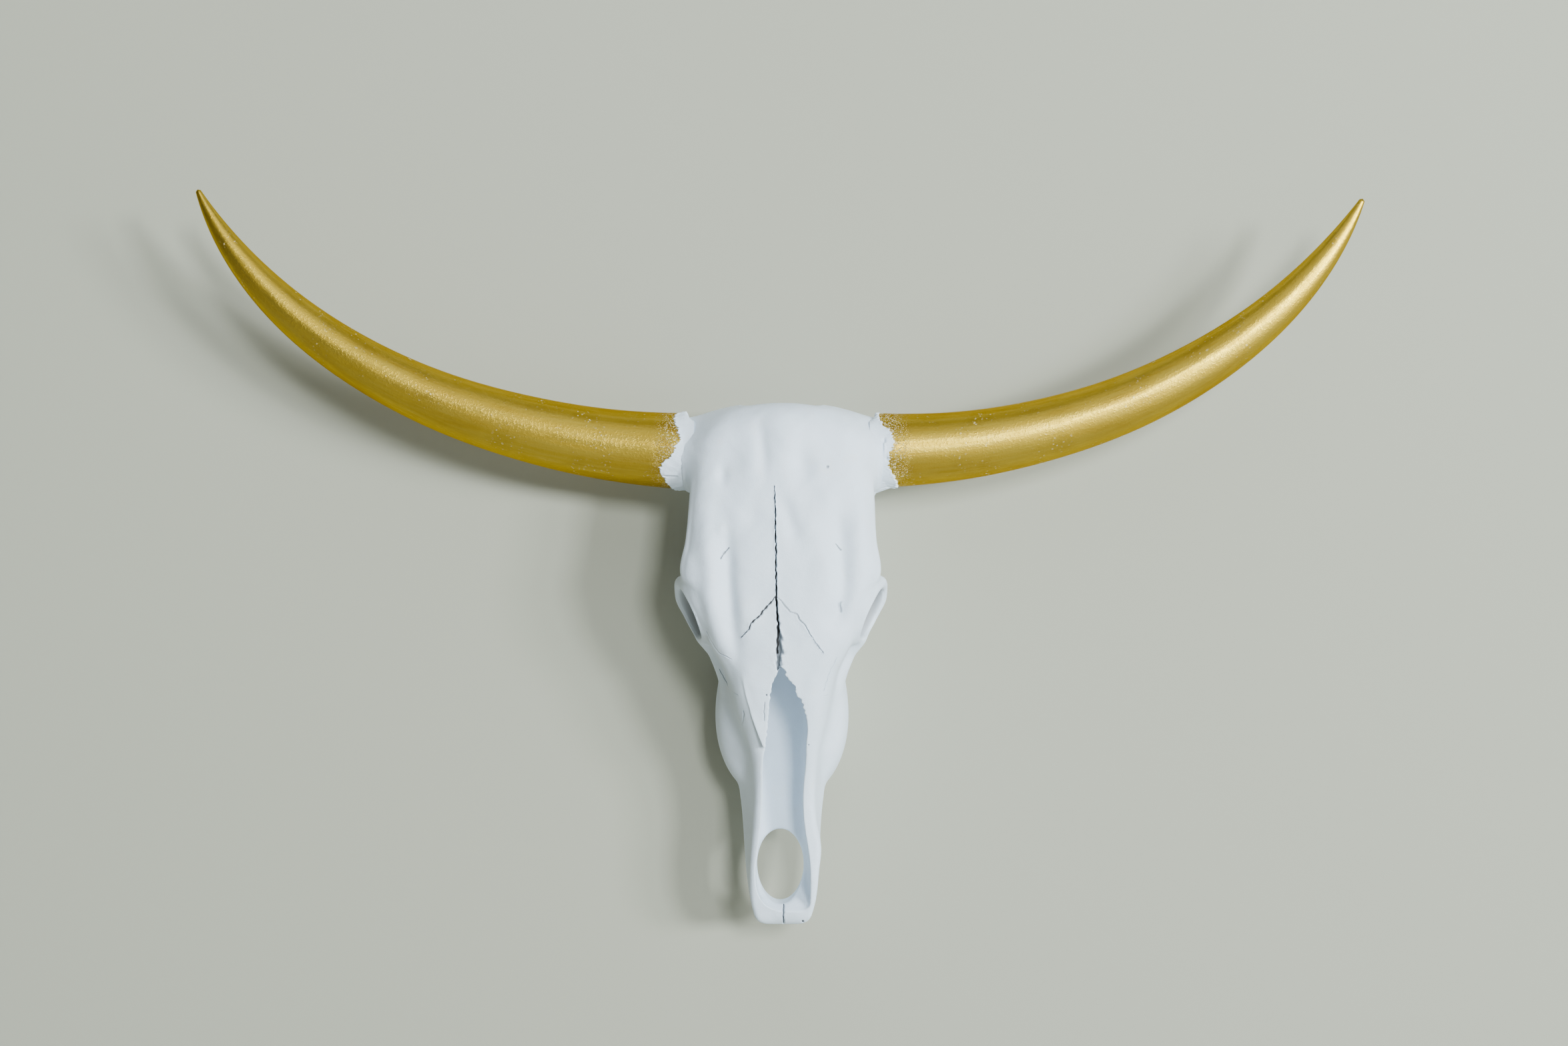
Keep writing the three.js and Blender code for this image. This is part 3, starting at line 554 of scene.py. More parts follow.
# ------------------------------------------------------------------------------- relief and marks
@dataclass(frozen=True)
class Swell:
    """A soft rise, or with a negative height a dimple, seen from the front."""

    x: float
    z: float
    half_width: float
    half_height: float
    rise: float

    def lift(self, x: Array, z: Array) -> Array:
        """Returns how far the surface rises at each place."""
        across = (x - self.x) / self.half_width
        along = (z - self.z) / self.half_height
        return self.rise * np.exp(-(across**2) - along**2)


@dataclass(frozen=True)
class Path:
    """A line across the front of the skull, through points of x, z and half width."""

    points: tuple[tuple[float, float, float], ...]

    def measure(self, x: Array, z: Array) -> tuple[Array, Array, Array]:
        """Finds the nearest place on the line.

        Args:
            x: Places across the skull.
            z: Heights.

        Returns:
            The distance to the line, its half width there, and the share of its length up to there.
        """
        best = np.full(x.shape, 1e9)
        width = np.zeros(x.shape)
        along = np.zeros(x.shape)
        lengths = [math.dist(a[:2], b[:2]) for a, b in zip(self.points, self.points[1:])]
        done = 0.0
        for (ax, az, aw), (bx, bz, bw), length in zip(self.points, self.points[1:], lengths):
            run = np.array([bx - ax, bz - az])
            share = np.clip(((x - ax) * run[0] + (z - az) * run[1]) / (run @ run), 0, 1)
            away = np.hypot(x - ax - share * run[0], z - az - share * run[1])
            nearer = away < best
            best = np.where(nearer, away, best)
            width = np.where(nearer, mix(aw, bw, share), width)
            along = np.where(nearer, done + share * length, along)
            done += length
        return best, width, along / done


@dataclass(frozen=True)
class Fold:
    """A long soft ridge, or with a negative height a valley, that dies away at both ends."""

    path: Path
    rise: float

    def lift(self, x: Array, z: Array) -> Array:
        """Returns how far the surface rises at each place."""
        away, width, share = self.path.measure(x, z)
        fade = ease(share, 0, 0.4) * (1 - ease(share, 0.6, 1))
        return self.rise * fade * np.exp(-((away / width) ** 2))


@dataclass(frozen=True)
class Crack:
    """An open crack or suture, with steep walls and a bottom darkened by painted shade and dirt."""

    path: Path
    depth: float
    dark: float = 1.0
    lip: float = 0.0
    wobble: float = 0.4

    STEEPNESS = 1.3
    LIP_AT = 1.7
    LIP_WIDTH = 0.6

    def measure(self, x: Array, z: Array) -> tuple[Array, Array]:
        """Returns the distance to the uneven line and its half width there."""
        across = 0.7 * np.sin(z / 2.9 + 2 * np.sin(z / 6.3)) + 0.4 * np.sin(z / 1.07)
        along = 0.7 * np.sin(x / 2.3 + 2 * np.sin(x / 5.1))
        away, width, _ = self.path.measure(x + self.wobble * across, z + self.wobble * along)
        return away, width * (1 + 0.35 * np.sin(z / 1.9 + x))

    def cut(self, x: Array, z: Array) -> Array:
        """Returns how deep the crack is at each place, less the thin lip beside it."""
        away, width = self.measure(x, z)
        ratio = away / width
        lip = self.lip * np.exp(-(((ratio - self.LIP_AT) / self.LIP_WIDTH) ** 2))
        return self.depth * np.clip(self.STEEPNESS - self.STEEPNESS * ratio, 0, 1) - lip

    def shade(self, x: Array, z: Array) -> Array:
        """Returns how dark the painted shade and dirt in the crack are at each place."""
        away, width = self.measure(x, z)
        return self.dark * (1 - ease(away / width, 0.45, 1.0))

    def near(self, x: Array, z: Array, margin: float) -> Array:
        """Returns whether each place is within that margin of the crack."""
        away, width, _ = self.path.measure(x, z)
        return away < width + margin


def pit(x: float, z: float, radius: float, depth: float, dark: float, height: float = 0.0) -> Crack:
    """A small round or upright hole.

    Args:
        x: Place across the skull, in millimetres.
        z: Height of its lower end.
        radius: Its half width.
        depth: How deep it is.
        dark: How dark the painted shade and dirt inside it are.
        height: How far it reaches up.

    Returns:
        The pit, as a short crack.
    """
    return Crack(Path(((x, z, radius), (x, z + height + 0.01, radius))), depth, dark)


SOFT_RELIEF = (
    Fold(Path(((-72, -40, 8), (-70, -90, 9), (-67, -140, 9), (-60, -205, 8))), 3.4),
    Fold(Path(((-53, -45, 6.5), (-51, -90, 7), (-50, -130, 7), (-46, -175, 7.5), (-39, -228, 7))), -4.0),
    Fold(Path(((53, -48, 7), (56, -90, 8), (58, -125, 8), (54, -180, 8))), -3.2),
    Fold(Path(((72, -30, 10), (74, -90, 11), (70, -150, 10))), 2.0),
    Fold(Path(((-4, -36, 8), (8, -66, 7), (18, -100, 10))), -2.2),
    Fold(Path(((20, -30, 12), (34, -85, 15), (36, -170, 14))), 1.6),
    Fold(Path(((-22, 40, 7), (-19, 8, 6), (-14, -34, 6))), -2.0),
    Swell(20, -14, 10, 17, -3.0),
    Swell(25, -111, 12, 14, -1.2),
    Swell(-31, -16, 13, 20, 2.2),
    Swell(-56, -24, 5, 9, -1.9),
    Swell(2, 6, 13, 24, 1.6),
    Swell(50, -158, 12, 17, -2.0),
    Swell(-57, -76, 4, 6, 0.9),
    Swell(-27, -62, 11, 13, -1.2),
    Swell(-33, -148, 10, 17, 1.2),
    Swell(42, -50, 10, 13, 1.2),
    Swell(10, -136, 9, 15, 1.2),
)

MIDLINE = (
    Crack(
        Path((
            (-6.8, -34, 0.35), (-6.3, -60, 0.65), (-5.9, -79, 0.75), (-5.6, -104, 0.85), (-5.4, -129, 0.95),
            (-4.9, -141.4, 1.1), (-3.9, -160, 1.3), (-3.2, -170, 1.5), (-3.6, -181, 1.6), (-4.4, -191, 1.5),
        )),
        depth=9.0, dark=1.0, lip=0.5,
    ),
    Crack(
        Path((
            (-3.9, -160, 1.2), (-2.9, -170, 2.0), (-2.2, -176, 2.6), (-2.0, -181, 3.0), (-2.3, -191, 3.2),
            (-3.3, -200, 2.5), (-2.4, -206, 2.6),
        )),
        depth=8.0, dark=0.7, lip=0.4,
    ),
)

LEFT_CHEVRON = Path((
    (-5.9, -137, 0.4), (-8.7, -141.4, 0.9), (-14, -147.6, 1.0), (-18, -151.4, 0.9), (-20, -154.8, 1.1),
    (-23.3, -158.3, 0.9), (-29.5, -162.7, 0.9), (-30.5, -168.3, 0.6), (-38.3, -176.5, 0.4),
))

RIGHT_CHEVRON = Path((
    (-4.6, -137.6, 0.4), (2.5, -145.7, 0.85), (7.5, -152, 0.85), (13.8, -153.9, 0.8), (16.9, -159.5, 0.8),
    (22.2, -165.1, 0.75), (27.5, -174.6, 0.55), (33.8, -184, 0.55), (38.8, -191.3, 0.4),
))

SUTURES = (
    Crack(LEFT_CHEVRON, 2.2, 1.0, 0.4),
    Crack(RIGHT_CHEVRON, 1.6, 0.55, 0.4),
    Crack(Path(((-72, -172, 0.4), (-61, -191.2, 0.6), (-48.2, -198.8, 0.4))), 1.0, 0.35, 0.2),
    Crack(Path(((-61, -210.8, 0.4), (-51.9, -227, 0.7), (-41.8, -232, 0.4))), 1.2, 0.45, 0.2),
    Crack(Path(((-36.5, -247, 0.5), (-36.7, -253, 0.8), (-38.5, -263, 0.5))), 1.4, 0.45),
    Crack(Path(((52.5, -195.8, 0.4), (44, -212.9, 0.6), (39, -227.5, 0.4))), 0.8, 0.2, 0.2),
    Crack(Path(((39, -232, 0.35), (50, -231, 0.45))), 0.8, 0.2),
    Crack(Path(((-16.5, -238, 0.5), (-17, -256, 0.6))), 1.2, 0.35),
    Crack(Path(((0.9, -434, 0.8), (1.6, -441, 0.9), (1.6, -463, 1.0))), 4.0, 0.6),
    Crack(Path(((-50.5, -92.2, 0.6), (-55, -97, 0.9), (-58, -102.2, 0.6))), 1.4, 0.7),
    Crack(Path(((50.3, -88.1, 0.6), (55.6, -94.1, 0.9))), 1.4, 0.6),
    pit(-14.8, -231, 0.9, 2.0, 0.8),
    pit(25.4, -279.5, 1.0, 2.0, 0.6),
    pit(43.2, -15.5, 1.7, 1.8, 0.6),
    pit(55.4, -152, 1.9, 1.6, 0.3, 8.0),
    pit(20.0, -454, 1.4, 3.0, 0.8),
)


class Relief:
    """The soft relief and the sharp marks on the skull's front."""

    STRENGTH = 1.3
    BOW = 1.8
    BOW_X = 4
    BOW_SPAN = (6, 70)
    BOW_Z = (-240, -190)

    def marks(self) -> tuple[Crack, ...]:
        """Returns every sharp mark."""
        return (*MIDLINE, *SUTURES)

    def near(self, x: Array, z: Array, margin: float) -> Array:
        """Returns whether each place is within that margin of a sharp mark."""
        return np.any([mark.near(x, z, margin) for mark in self.marks()], axis=0)

    def lift(self, x: Array, z: Array) -> Array:
        """Returns the soft relief at each place, with the hand-worked unevenness of the cast."""
        forms = self.STRENGTH * sum(form.lift(x, z) for form in SOFT_RELIEF)
        forms = forms - self.BOW * ease(np.abs(x - self.BOW_X), *self.BOW_SPAN) * ease(z, *self.BOW_Z)
        broad = 0.6 * np.sin(x / 11 + 1.3 * np.sin(z / 23)) * np.sin(z / 15 + np.sin(x / 17))
        small = 0.16 * np.sin(x / 4.1 + 1.7 * np.sin(z / 9)) * np.sin(z / 5.3 + 1.1 * np.sin(x / 7))
        return forms + broad + small

    def cut(self, x: Array, z: Array) -> Array:
        """Returns how deep the sharp marks cut at each place."""
        cuts = np.array([mark.cut(x, z) for mark in self.marks()])
        return cuts.max(axis=0) + np.minimum(cuts.min(axis=0), 0)

    def shade(self, x: Array, z: Array) -> Array:
        """Returns how dark the painted shade and dirt in the sharp marks are at each place."""
        return np.max([mark.shade(x, z) for mark in self.marks()], axis=0)


# ------------------------------------------------------------------------------- mesh helpers
def coordinates(mesh: bpy.types.Mesh) -> Array:
    """Returns the places of a mesh's vertices in millimetres, as an array of n by 3."""
    places = np.empty(len(mesh.vertices) * 3, np.float32)
    mesh.vertices.foreach_get("co", places)
    return places.reshape(-1, 3).astype(float) / MM


def move_vertices(mesh: bpy.types.Mesh, points: Array) -> None:
    """Puts a mesh's vertices at those places, given in millimetres."""
    mesh.vertices.foreach_set("co", (points * MM).astype(np.float32).ravel())
    mesh.update()


def edge_ends(mesh: bpy.types.Mesh) -> Array:
    """Returns the two vertex numbers of each edge, as an array of n by 2."""
    ends = np.empty(len(mesh.edges) * 2, np.int32)
    mesh.edges.foreach_get("vertices", ends)
    return ends.reshape(-1, 2)


def neighbour_means(points: Array, ends: Array) -> Array:
    """Averages the neighbours of each vertex.

    Args:
        points: Places of the vertices.
        ends: The two vertex numbers of each edge.

    Returns:
        The mean place of each vertex's neighbours.
    """
    count = len(points)
    both = np.concatenate([ends[:, 0], ends[:, 1]])
    other = np.concatenate([ends[:, 1], ends[:, 0]])
    degree = np.maximum(np.bincount(both, minlength=count), 1)
    sums = [np.bincount(both, weights=points[other, axis], minlength=count) for axis in range(3)]
    return np.stack(sums, axis=-1) / degree[:, None]


def new_piece(name: str, mesh: bpy.types.Mesh) -> bpy.types.Object:
    """Makes an object of a mesh and puts it in the scene."""
    piece = bpy.data.objects.new(name, mesh)
    bpy.context.scene.collection.objects.link(piece)
    return piece


def apply_modifiers(piece: bpy.types.Object) -> None:
    """Replaces a piece's mesh by what its modifiers make of it."""
    graph = bpy.context.evaluated_depsgraph_get()
    mesh = bpy.data.meshes.new_from_object(piece.evaluated_get(graph))
    piece.modifiers.clear()
    piece.data = mesh


def smooth_shading(mesh: bpy.types.Mesh, sharp_angle: float) -> None:
    """Shades a mesh smoothly, apart from edges sharper than an angle in degrees."""
    mesh.polygons.foreach_set("use_smooth", np.ones(len(mesh.polygons), bool))
    mesh.set_sharp_from_angle(angle=math.radians(sharp_angle))
    mesh.update()


def add_block(bm: bmesh.types.BMesh, low: Vector, high: Vector) -> None:
    """Adds a box between two corners, in metres."""
    size = high - low
    place = Matrix.Translation((low + high) / 2) @ Matrix.Diagonal((*size, 1))
    bmesh.ops.create_cube(bm, size=1.0, matrix=place)


def wrapped_grid(rows: int, columns: int) -> tuple[bmesh.types.BMesh, Array]:
    """Makes a flat grid that is to be wrapped round an axis.

    Args:
        rows: Number of steps along the axis.
        columns: Number of steps round the axis.

    Returns:
        The grid, and for each vertex its share of the way round and its share of the way along.
    """
    bm = bmesh.new()
    bmesh.ops.create_grid(bm, x_segments=columns, y_segments=rows, size=0.5)
    shares = np.array([vertex.co[:2] for vertex in bm.verts]) + 0.5
    return bm, shares


def closed_surface(bm: bmesh.types.BMesh, points: Array, name: str) -> bpy.types.Mesh:
    """Wraps a grid onto its places and closes its seams.

    Args:
        bm: The grid.
        points: A place for each vertex, in millimetres.
        name: The new mesh's name.

    Returns:
        The closed mesh.
    """
    for vertex, point in zip(bm.verts, points):
        vertex.co = Vector(point) * MM
    bmesh.ops.remove_doubles(bm, verts=bm.verts, dist=0.004 * MM)
    bmesh.ops.recalc_face_normals(bm, faces=bm.faces)
    mesh = bpy.data.meshes.new(name)
    bm.to_mesh(mesh)
    bm.free()
    return mesh


# ------------------------------------------------------------------------------- the skull
@dataclass
class SkullCast:
    """The skull as one smooth casting."""

    voxel: float = 2.4
    swell: float = 0.4
    finest_edge: float = 0.75
    bend_limit: float = 16.0
    mark_margin: float = 1.3
    front_limit: float = 153.0
    crumple_limit: float = 0.45
    pocket_gap: float = 0.3
    pocket_depth: float = 12.0
    fillers: tuple[tuple[tuple[float, ...], tuple[float, ...]], ...] = (
        ((-9, -150, -205), (5, -112, -160)),
        ((-25.2, -100, -350), (-19.6, -80, -290)),
        ((-25.4, -104.5, -311), (-19, -80, -277)),
    )
    nodes: tuple[str, ...] = (
        "cranium", "orbit_left", "orbit_right", "cheek_arch_left", "cheek_arch_right", "nasal_left",
        "nasal_right", "maxilla_left", "maxilla_right", "premaxilla_left", "premaxilla_right",
    )

    def __post_init__(self) -> None:
        """Sets out the form and its relief."""
        self.form = SkullForm()
        self.relief = Relief()

    def solids(self) -> bpy.types.Mesh:
        """Joins copies of the skull's solids, with the hanger's pocket, the slit and the thin bar filled."""
        bm = bmesh.new()
        for name in self.nodes:
            bm.from_mesh(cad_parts[name].data)
        low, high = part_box("hanger_plate")
        margin = Vector((3, 0, 3)) * MM
        add_block(bm, low - margin - Vector((0, self.pocket_depth * MM, 0)), high + margin)
        for block_low, block_high in self.fillers:
            add_block(bm, Vector(block_low) * MM, Vector(block_high) * MM)
        bmesh.ops.remove_doubles(bm, verts=bm.verts, dist=0.01 * MM)
        bm.normal_update()
        for vertex in bm.verts:
            vertex.co += vertex.normal * self.swell * MM
        mesh = bpy.data.meshes.new("skull_solids")
        bm.to_mesh(mesh)
        bm.free()
        return mesh

    def even_mesh(self) -> bpy.types.Object:
        """Makes one closed, evenly meshed body of the solids."""
        piece = new_piece("skull_cast", self.solids())
        remesh = piece.modifiers.new("even", "REMESH")
        remesh.mode = "VOXEL"
        remesh.voxel_size = self.voxel * MM
        apply_modifiers(piece)
        return piece

    def settle(self, mesh: bpy.types.Mesh, rounds: int) -> None:
        """Spreads the vertices evenly over the form's surface.

        Args:
            mesh: The mesh to settle.
            rounds: How often the vertices are spread and put back onto the surface.
        """
        ends = edge_ends(mesh)
        points = self.form.project(coordinates(mesh), 4)
        for _ in range(rounds):
            normals = self.form.normals(points)
            pull = neighbour_means(points, ends) - points
            pull -= (pull * normals).sum(-1)[:, None] * normals
            points = self.form.project(points + 0.5 * pull, 2)
        move_vertices(mesh, points)

    def unfold(self, mesh: bpy.types.Mesh, rounds: int) -> None:
        """Draws crumpled places flat, where the mesh faces another way than the form.

        Args:
            mesh: The mesh to mend.
            rounds: How often the crumpled vertices are drawn to the middle of their neighbours.
        """
        ends = edge_ends(mesh)
        points = coordinates(mesh)
        for _ in range(rounds):
            facing = np.empty(len(points) * 3, np.float32)
            mesh.vertex_normals.foreach_get("vector", facing)
            agree = (facing.reshape(-1, 3) * self.form.normals(points)).sum(-1)
            folded = agree < self.crumple_limit
            crumpled = folded.astype(float)
            for one, other in ((0, 1), (1, 0)):
                crumpled[ends[:, one]] = np.maximum(crumpled[ends[:, one]], folded[ends[:, other]])
            pull = neighbour_means(points, ends) - points
            points = self.form.project(points + crumpled[:, None] * pull, 1)
            move_vertices(mesh, points)
        log.info("crumpled vertices left: %d", int(folded.sum()))

    def refine(self, mesh: bpy.types.Mesh, finest: float) -> None:
        """Splits the edges that are bent or lie on a sharp mark.

        Args:
            mesh: The mesh to refine.
            finest: Edges shorter than this, in millimetres, stay whole.
        """
        points = coordinates(mesh)
        normals = self.form.normals(points)
        ends = edge_ends(mesh)
        a, b = ends[:, 0], ends[:, 1]
        length = np.linalg.norm(points[a] - points[b], axis=-1)
        bent = (normals[a] * normals[b]).sum(-1) < math.cos(math.radians(self.bend_limit))
        middle = (points[a] + points[b]) / 2
        front = (normals[a, 1] < -0.2) & (middle[:, 1] < -60)
        marked = front & self.relief.near(middle[:, 0], middle[:, 2], self.mark_margin)
        chosen = np.flatnonzero((length > finest) & (bent | marked))
        bm = bmesh.new()
        bm.from_mesh(mesh)
        bm.edges.ensure_lookup_table()
        edges = [bm.edges[number] for number in chosen]
        bmesh.ops.subdivide_edges(bm, edges=edges, cuts=1, use_grid_fill=True)
        bmesh.ops.triangulate(bm, faces=[face for face in bm.faces if len(face.verts) > 4])
        bm.to_mesh(mesh)
        bm.free()

    def carve(self, mesh: bpy.types.Mesh) -> None:
        """Adds the relief and the marks, and stores where painted shade goes: with dirt in the cracks, and
        alone in the eye sockets.
        """
        points = coordinates(mesh)
        normals = self.form.normals(points)
        socket_shade = self.form.socket_shade(points)
        x, z = points[:, 0], points[:, 2]
        facing = ease(-normals[:, 1], 0.2, 0.6) * ease(-points[:, 1], 60, 80)
        points = points + (facing * self.relief.lift(x, z))[:, None] * normals
        points[:, 1] += facing * self.relief.cut(x, z)
        points[:, 1] = np.minimum(-smooth_min(-points[:, 1], self.front_limit, 2.0), 0)
        move_vertices(mesh, points)
        # Masks of painted shade: with dirt in the cracks, and inside the eye sockets.
        masks = {"crack_shade": facing * self.relief.shade(x, z), "socket_shade": socket_shade}
        for name, mask in masks.items():
            layer = mesh.attributes.new(name, "FLOAT", "POINT")
            layer.data.foreach_set("value", mask.astype(np.float32))

    def cut_pocket(self, piece: bpy.types.Object) -> None:
        """Cuts the seat of the hanging plate and the room behind its keyhole."""
        gap = Vector((self.pocket_gap, self.pocket_gap, self.pocket_gap)) * MM
        low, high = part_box("hanger_plate")
        seat = (low - gap, high + gap + Vector((0, 4 * MM, 0)))
        head = (Vector((-6.5, -9, -29.5)) * MM, Vector((6.5, 4, 0.2)) * MM)
        for number, corners in enumerate((seat, head)):
            bm = bmesh.new()
            add_block(bm, *corners)
            mesh = bpy.data.meshes.new(f"pocket_{number}")
            bm.to_mesh(mesh)
            bm.free()
            cutter = new_piece(f"pocket_{number}", mesh)
            boolean = piece.modifiers.new(f"pocket_{number}", "BOOLEAN")
            boolean.operation = "DIFFERENCE"
            boolean.solver = "MANIFOLD"
            boolean.object = cutter
            apply_modifiers(piece)
            bpy.data.objects.remove(cutter)

    def build(self) -> bpy.types.Object:
        """Returns the finished skull."""
        piece = self.even_mesh()
        self.settle(piece.data, 6)
        self.unfold(piece.data, 8)
        self.settle(piece.data, 1)
        for finest in (1.6, 1.1, self.finest_edge):
            self.refine(piece.data, finest)
            self.settle(piece.data, 1)
        self.carve(piece.data)
        self.cut_pocket(piece)
        smooth_shading(piece.data, 65)
        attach(piece, "root")
        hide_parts(*self.nodes)
        return piece


# ------------------------------------------------------------------------------- the horns
@dataclass(frozen=True)
class HornShape:
    """Course and thickness of one horn, in millimetres and degrees."""

    side: Side
    z: float
    start: float
    growth: float
    curl: float
    radius: float
    taper: float
    blunt: float
    length: float

    START_X = 99.0
    DEPTH = 76.0
    TIP_RADIUS = 2.8
    FORWARD_START = 1.0
    FORWARD_GROWTH = 4.0

    def heading(self, share: float) -> Vector:
        """Returns the direction of the centre line at that share of the length, on the +X side."""
        rise = math.radians(self.start + self.growth * share + self.curl * share**3)
        forward = math.radians(self.FORWARD_START + self.FORWARD_GROWTH * share)
        return Vector((math.cos(rise), -math.tan(forward), math.sin(rise))).normalized()

    def radius_at(self, share: Array) -> Array:
        """Returns the radius at that share of the length."""
        share = np.clip(share, 0, 1)
        body = 1 - self.taper * share - (1 - self.taper) * share**self.blunt
        return self.TIP_RADIUS + (self.radius - self.TIP_RADIUS) * body

    def centre_line(self, count: int) -> tuple[Array, Array]:
        """Follows the horn's course.

        Args:
            count: Number of steps.

        Returns:
            The centre and the heading at each step, on the +X side.
        """
        step = self.length / count
        centre = Vector((self.START_X, -self.DEPTH, self.z))
        centres, headings = [], []
        for number in range(count + 1):
            centres.append(centre[:])
            headings.append(self.heading(number / count)[:])
            centre = centre + self.heading((number + 0.5) / count) * step
        return np.array(centres), np.array(headings)


HORN_SHAPES = {
    Side.LEFT: HornShape(
        Side.LEFT, z=0.7, start=2.9, growth=39, curl=24.9, radius=37.7, taper=0.59, blunt=5.5, length=551
    ),
    Side.RIGHT: HornShape(
        Side.RIGHT, z=1.3, start=0.5, growth=46.2, curl=16.9, radius=36.1, taper=0.53, blunt=5.3, length=543
    ),
}

# Angle round the horn in degrees, and how far from the middle the torn edge lies there.
TORN_EDGES = {
    Side.LEFT: (
        (-180, 108), (-160, 112), (-130, 106), (-100, 100), (-79, 104.5), (-55.9, 110.8), (-41.3, 114.6),
        (-30.6, 117.1), (-17.8, 112.3), (-8.8, 105.8), (4.7, 101.8), (13.6, 98), (26.3, 98.8), (43.7, 102.4),
        (62, 103), (72, 100), (85, 95), (105, 97), (150, 101), (180, 108),
    ),
    Side.RIGHT: (
        (-180, 107), (-165, 104), (-130, 100), (-100, 108), (-75.4, 111.1), (-45.3, 107.5), (-30.2, 102.6),
        (-15.8, 102.3), (-4.6, 103.3), (8.9, 106.9), (17.6, 106.2), (32.2, 101.8), (40.2, 97), (59, 93.4),
        (85, 93), (110, 96), (140, 103), (165, 110), (180, 107),
    ),
}

# Angle round the horn in degrees, and the radius at which the collar leaves the skull there.
COLLAR_ROOTS = {
    Side.LEFT: (
        (-180, 35), (-120, 35), (-90, 37.5), (-45, 40), (0, 40.5), (40, 38), (66, 32), (90, 28.5), (120, 31),
        (180, 35),
    ),
    Side.RIGHT: (
        (-180, 35), (-120, 41), (-90, 46.5), (-62, 43), (-30, 40.5), (0, 39.5), (40, 37.5), (66, 32),
        (90, 28.5), (120, 31), (180, 35),
    ),
}


@dataclass
class Collar:
    """The torn edge of the casting, lapped over the root of one horn."""

    shape: HornShape
    ragged: float = 1.0
    lumps: float = 0.15
    columns: int = 400
    root_x: float = 88.6
    front_root_x: float = 84.0
    full_x: float = 94.5
    full_below: float = 4.5
    full_margin: float = 0.8
    lip: float = 0.5
    lip_reach: float = 0.9
    lip_height: float = 1.5

    LIP_STARTS = 0.72
    LIP_ENDS = 0.86
    LIP_SHARE = 0.14
    FOLD_Z = -23.6
    FOLD_STARTS = (99, 102)
    FOLD_ENDS = (112, 115)
    FOLD_HEIGHT = 1.1
    FOLD_SHARPNESS = 0.5
    FOLD_WIDTH = 2.6
    PITS = (Swell(97.7, 9.6, 1.2, 2.0, -2.6), Swell(100.4, -7.4, 1.0, 1.8, -2.4))
    RIDGE = (Swell(97.8, 2.6, 1.0, 4.2, 1.3), Swell(95.6, 0, 1.0, 9, -1.2))

    def __post_init__(self) -> None:
        """Prepares the curves of the torn edge and of the root."""
        self.edge = Profile(TORN_EDGES[self.shape.side])
        self.root = Profile(COLLAR_ROOTS[self.shape.side])

    @property
    def side(self) -> int:
        """Returns -1 on the left and 1 on the right."""
        return self.shape.side.value

    @staticmethod
    def ripple(angle: Array, waves: tuple[int, ...], phase: float) -> Array:
        """Adds up waves that close round the horn.

        Args:
            angle: Angle round the horn, in radians.
            waves: How many times each wave repeats.
            phase: Where the waves start.

        Returns:
            Their sum, between about -1 and 1.
        """
        parts = [np.sin(count * angle + phase * count**1.3) for count in waves]
        return sum(parts) / math.sqrt(len(waves))

    def reach(self, angle: Array) -> Array:
        """Returns how far out the torn edge lies at each angle, in millimetres from the middle."""
        base = self.edge.at(np.degrees(angle))
        coarse = self.ripple(angle, (17, 23, 31), 1.1 * self.side)
        fine = self.ripple(angle, (53, 67, 89, 113), 0.7)
        return base + self.ragged * (0.7 * coarse + 0.9 * fine)

    def flare(self, x: Array, angle: Array) -> Array:
        """Returns the collar's outer radius.

        Args:
            x: Distance from the middle of the skull.
            angle: Angle round the horn, in radians.

        Returns:
            The radius, which grows from the skull towards the torn edge.
        """
        below = self.below(angle)
        start = self.start(angle)
        full = np.minimum(self.full_x + self.full_below * below, self.reach(angle) - self.full_margin)
        share = np.clip((x - start) / (full - start), 0, 1)
        rise = np.sin(share * math.pi / 2) ** (1.1 - 0.5 * below)
        return mix(self.root.at(np.degrees(angle)), self.shape.radius + self.lip, rise)

    def start(self, angle: Array) -> Array:
        """Returns how far from the middle the collar starts, which is nearer on its front."""
        return mix(self.root_x, self.front_root_x, ease(np.cos(angle), 0.2, 0.7))

    def below(self, angle: Array) -> Array:
        """Returns how far each angle belongs to the fillet under the right collar."""
        return np.clip(-np.sin(angle), 0, 1) ** 4 * (self.shape.side is Side.RIGHT)

    def height(self, x: Array) -> Array:
        """Returns the height of the horn's axis at each distance from the middle."""
        drift = math.tan(math.radians(self.shape.start))
        return self.shape.z + drift * np.maximum(x - self.shape.START_X, 0)

    def relief(self, x: Array, angle: Array) -> Array:
        """Returns the torn surface's unevenness, in millimetres."""
        fade = ease(x, 92, 96)
        folds = self.ripple(angle, (9, 14, 22), 0.4 * self.side) * np.sin(x / 2.3 + 3 * np.sin(5 * angle))
        grit = self.ripple(angle, (61, 83, 107), 0.9) * np.sin(x / 0.9 + 2 * np.sin(11 * angle))
        return fade * self.lumps * (folds + 0.35 * grit) + self.features(x, angle)

    def features(self, x: Array, angle: Array) -> Array:
        """Returns the fold on the left collar, or the pits and the ridge on the right one."""
        z = self.shape.z + self.shape.radius * np.sin(angle)
        front = np.cos(angle) > 0
        if self.shape.side is Side.LEFT:
            span = front * ease(x, *self.FOLD_STARTS) * (1 - ease(x, *self.FOLD_ENDS))
            above = z - self.FOLD_Z
            step = np.tanh(above / self.FOLD_SHARPNESS) * np.exp(-((above / self.FOLD_WIDTH) ** 2))
            return span * self.FOLD_HEIGHT * step
        pits = sum(form.lift(x, z) for form in self.PITS)
        ridge = sum(form.lift(x, z) for form in self.RIDGE)
        return front * (pits + ridge)

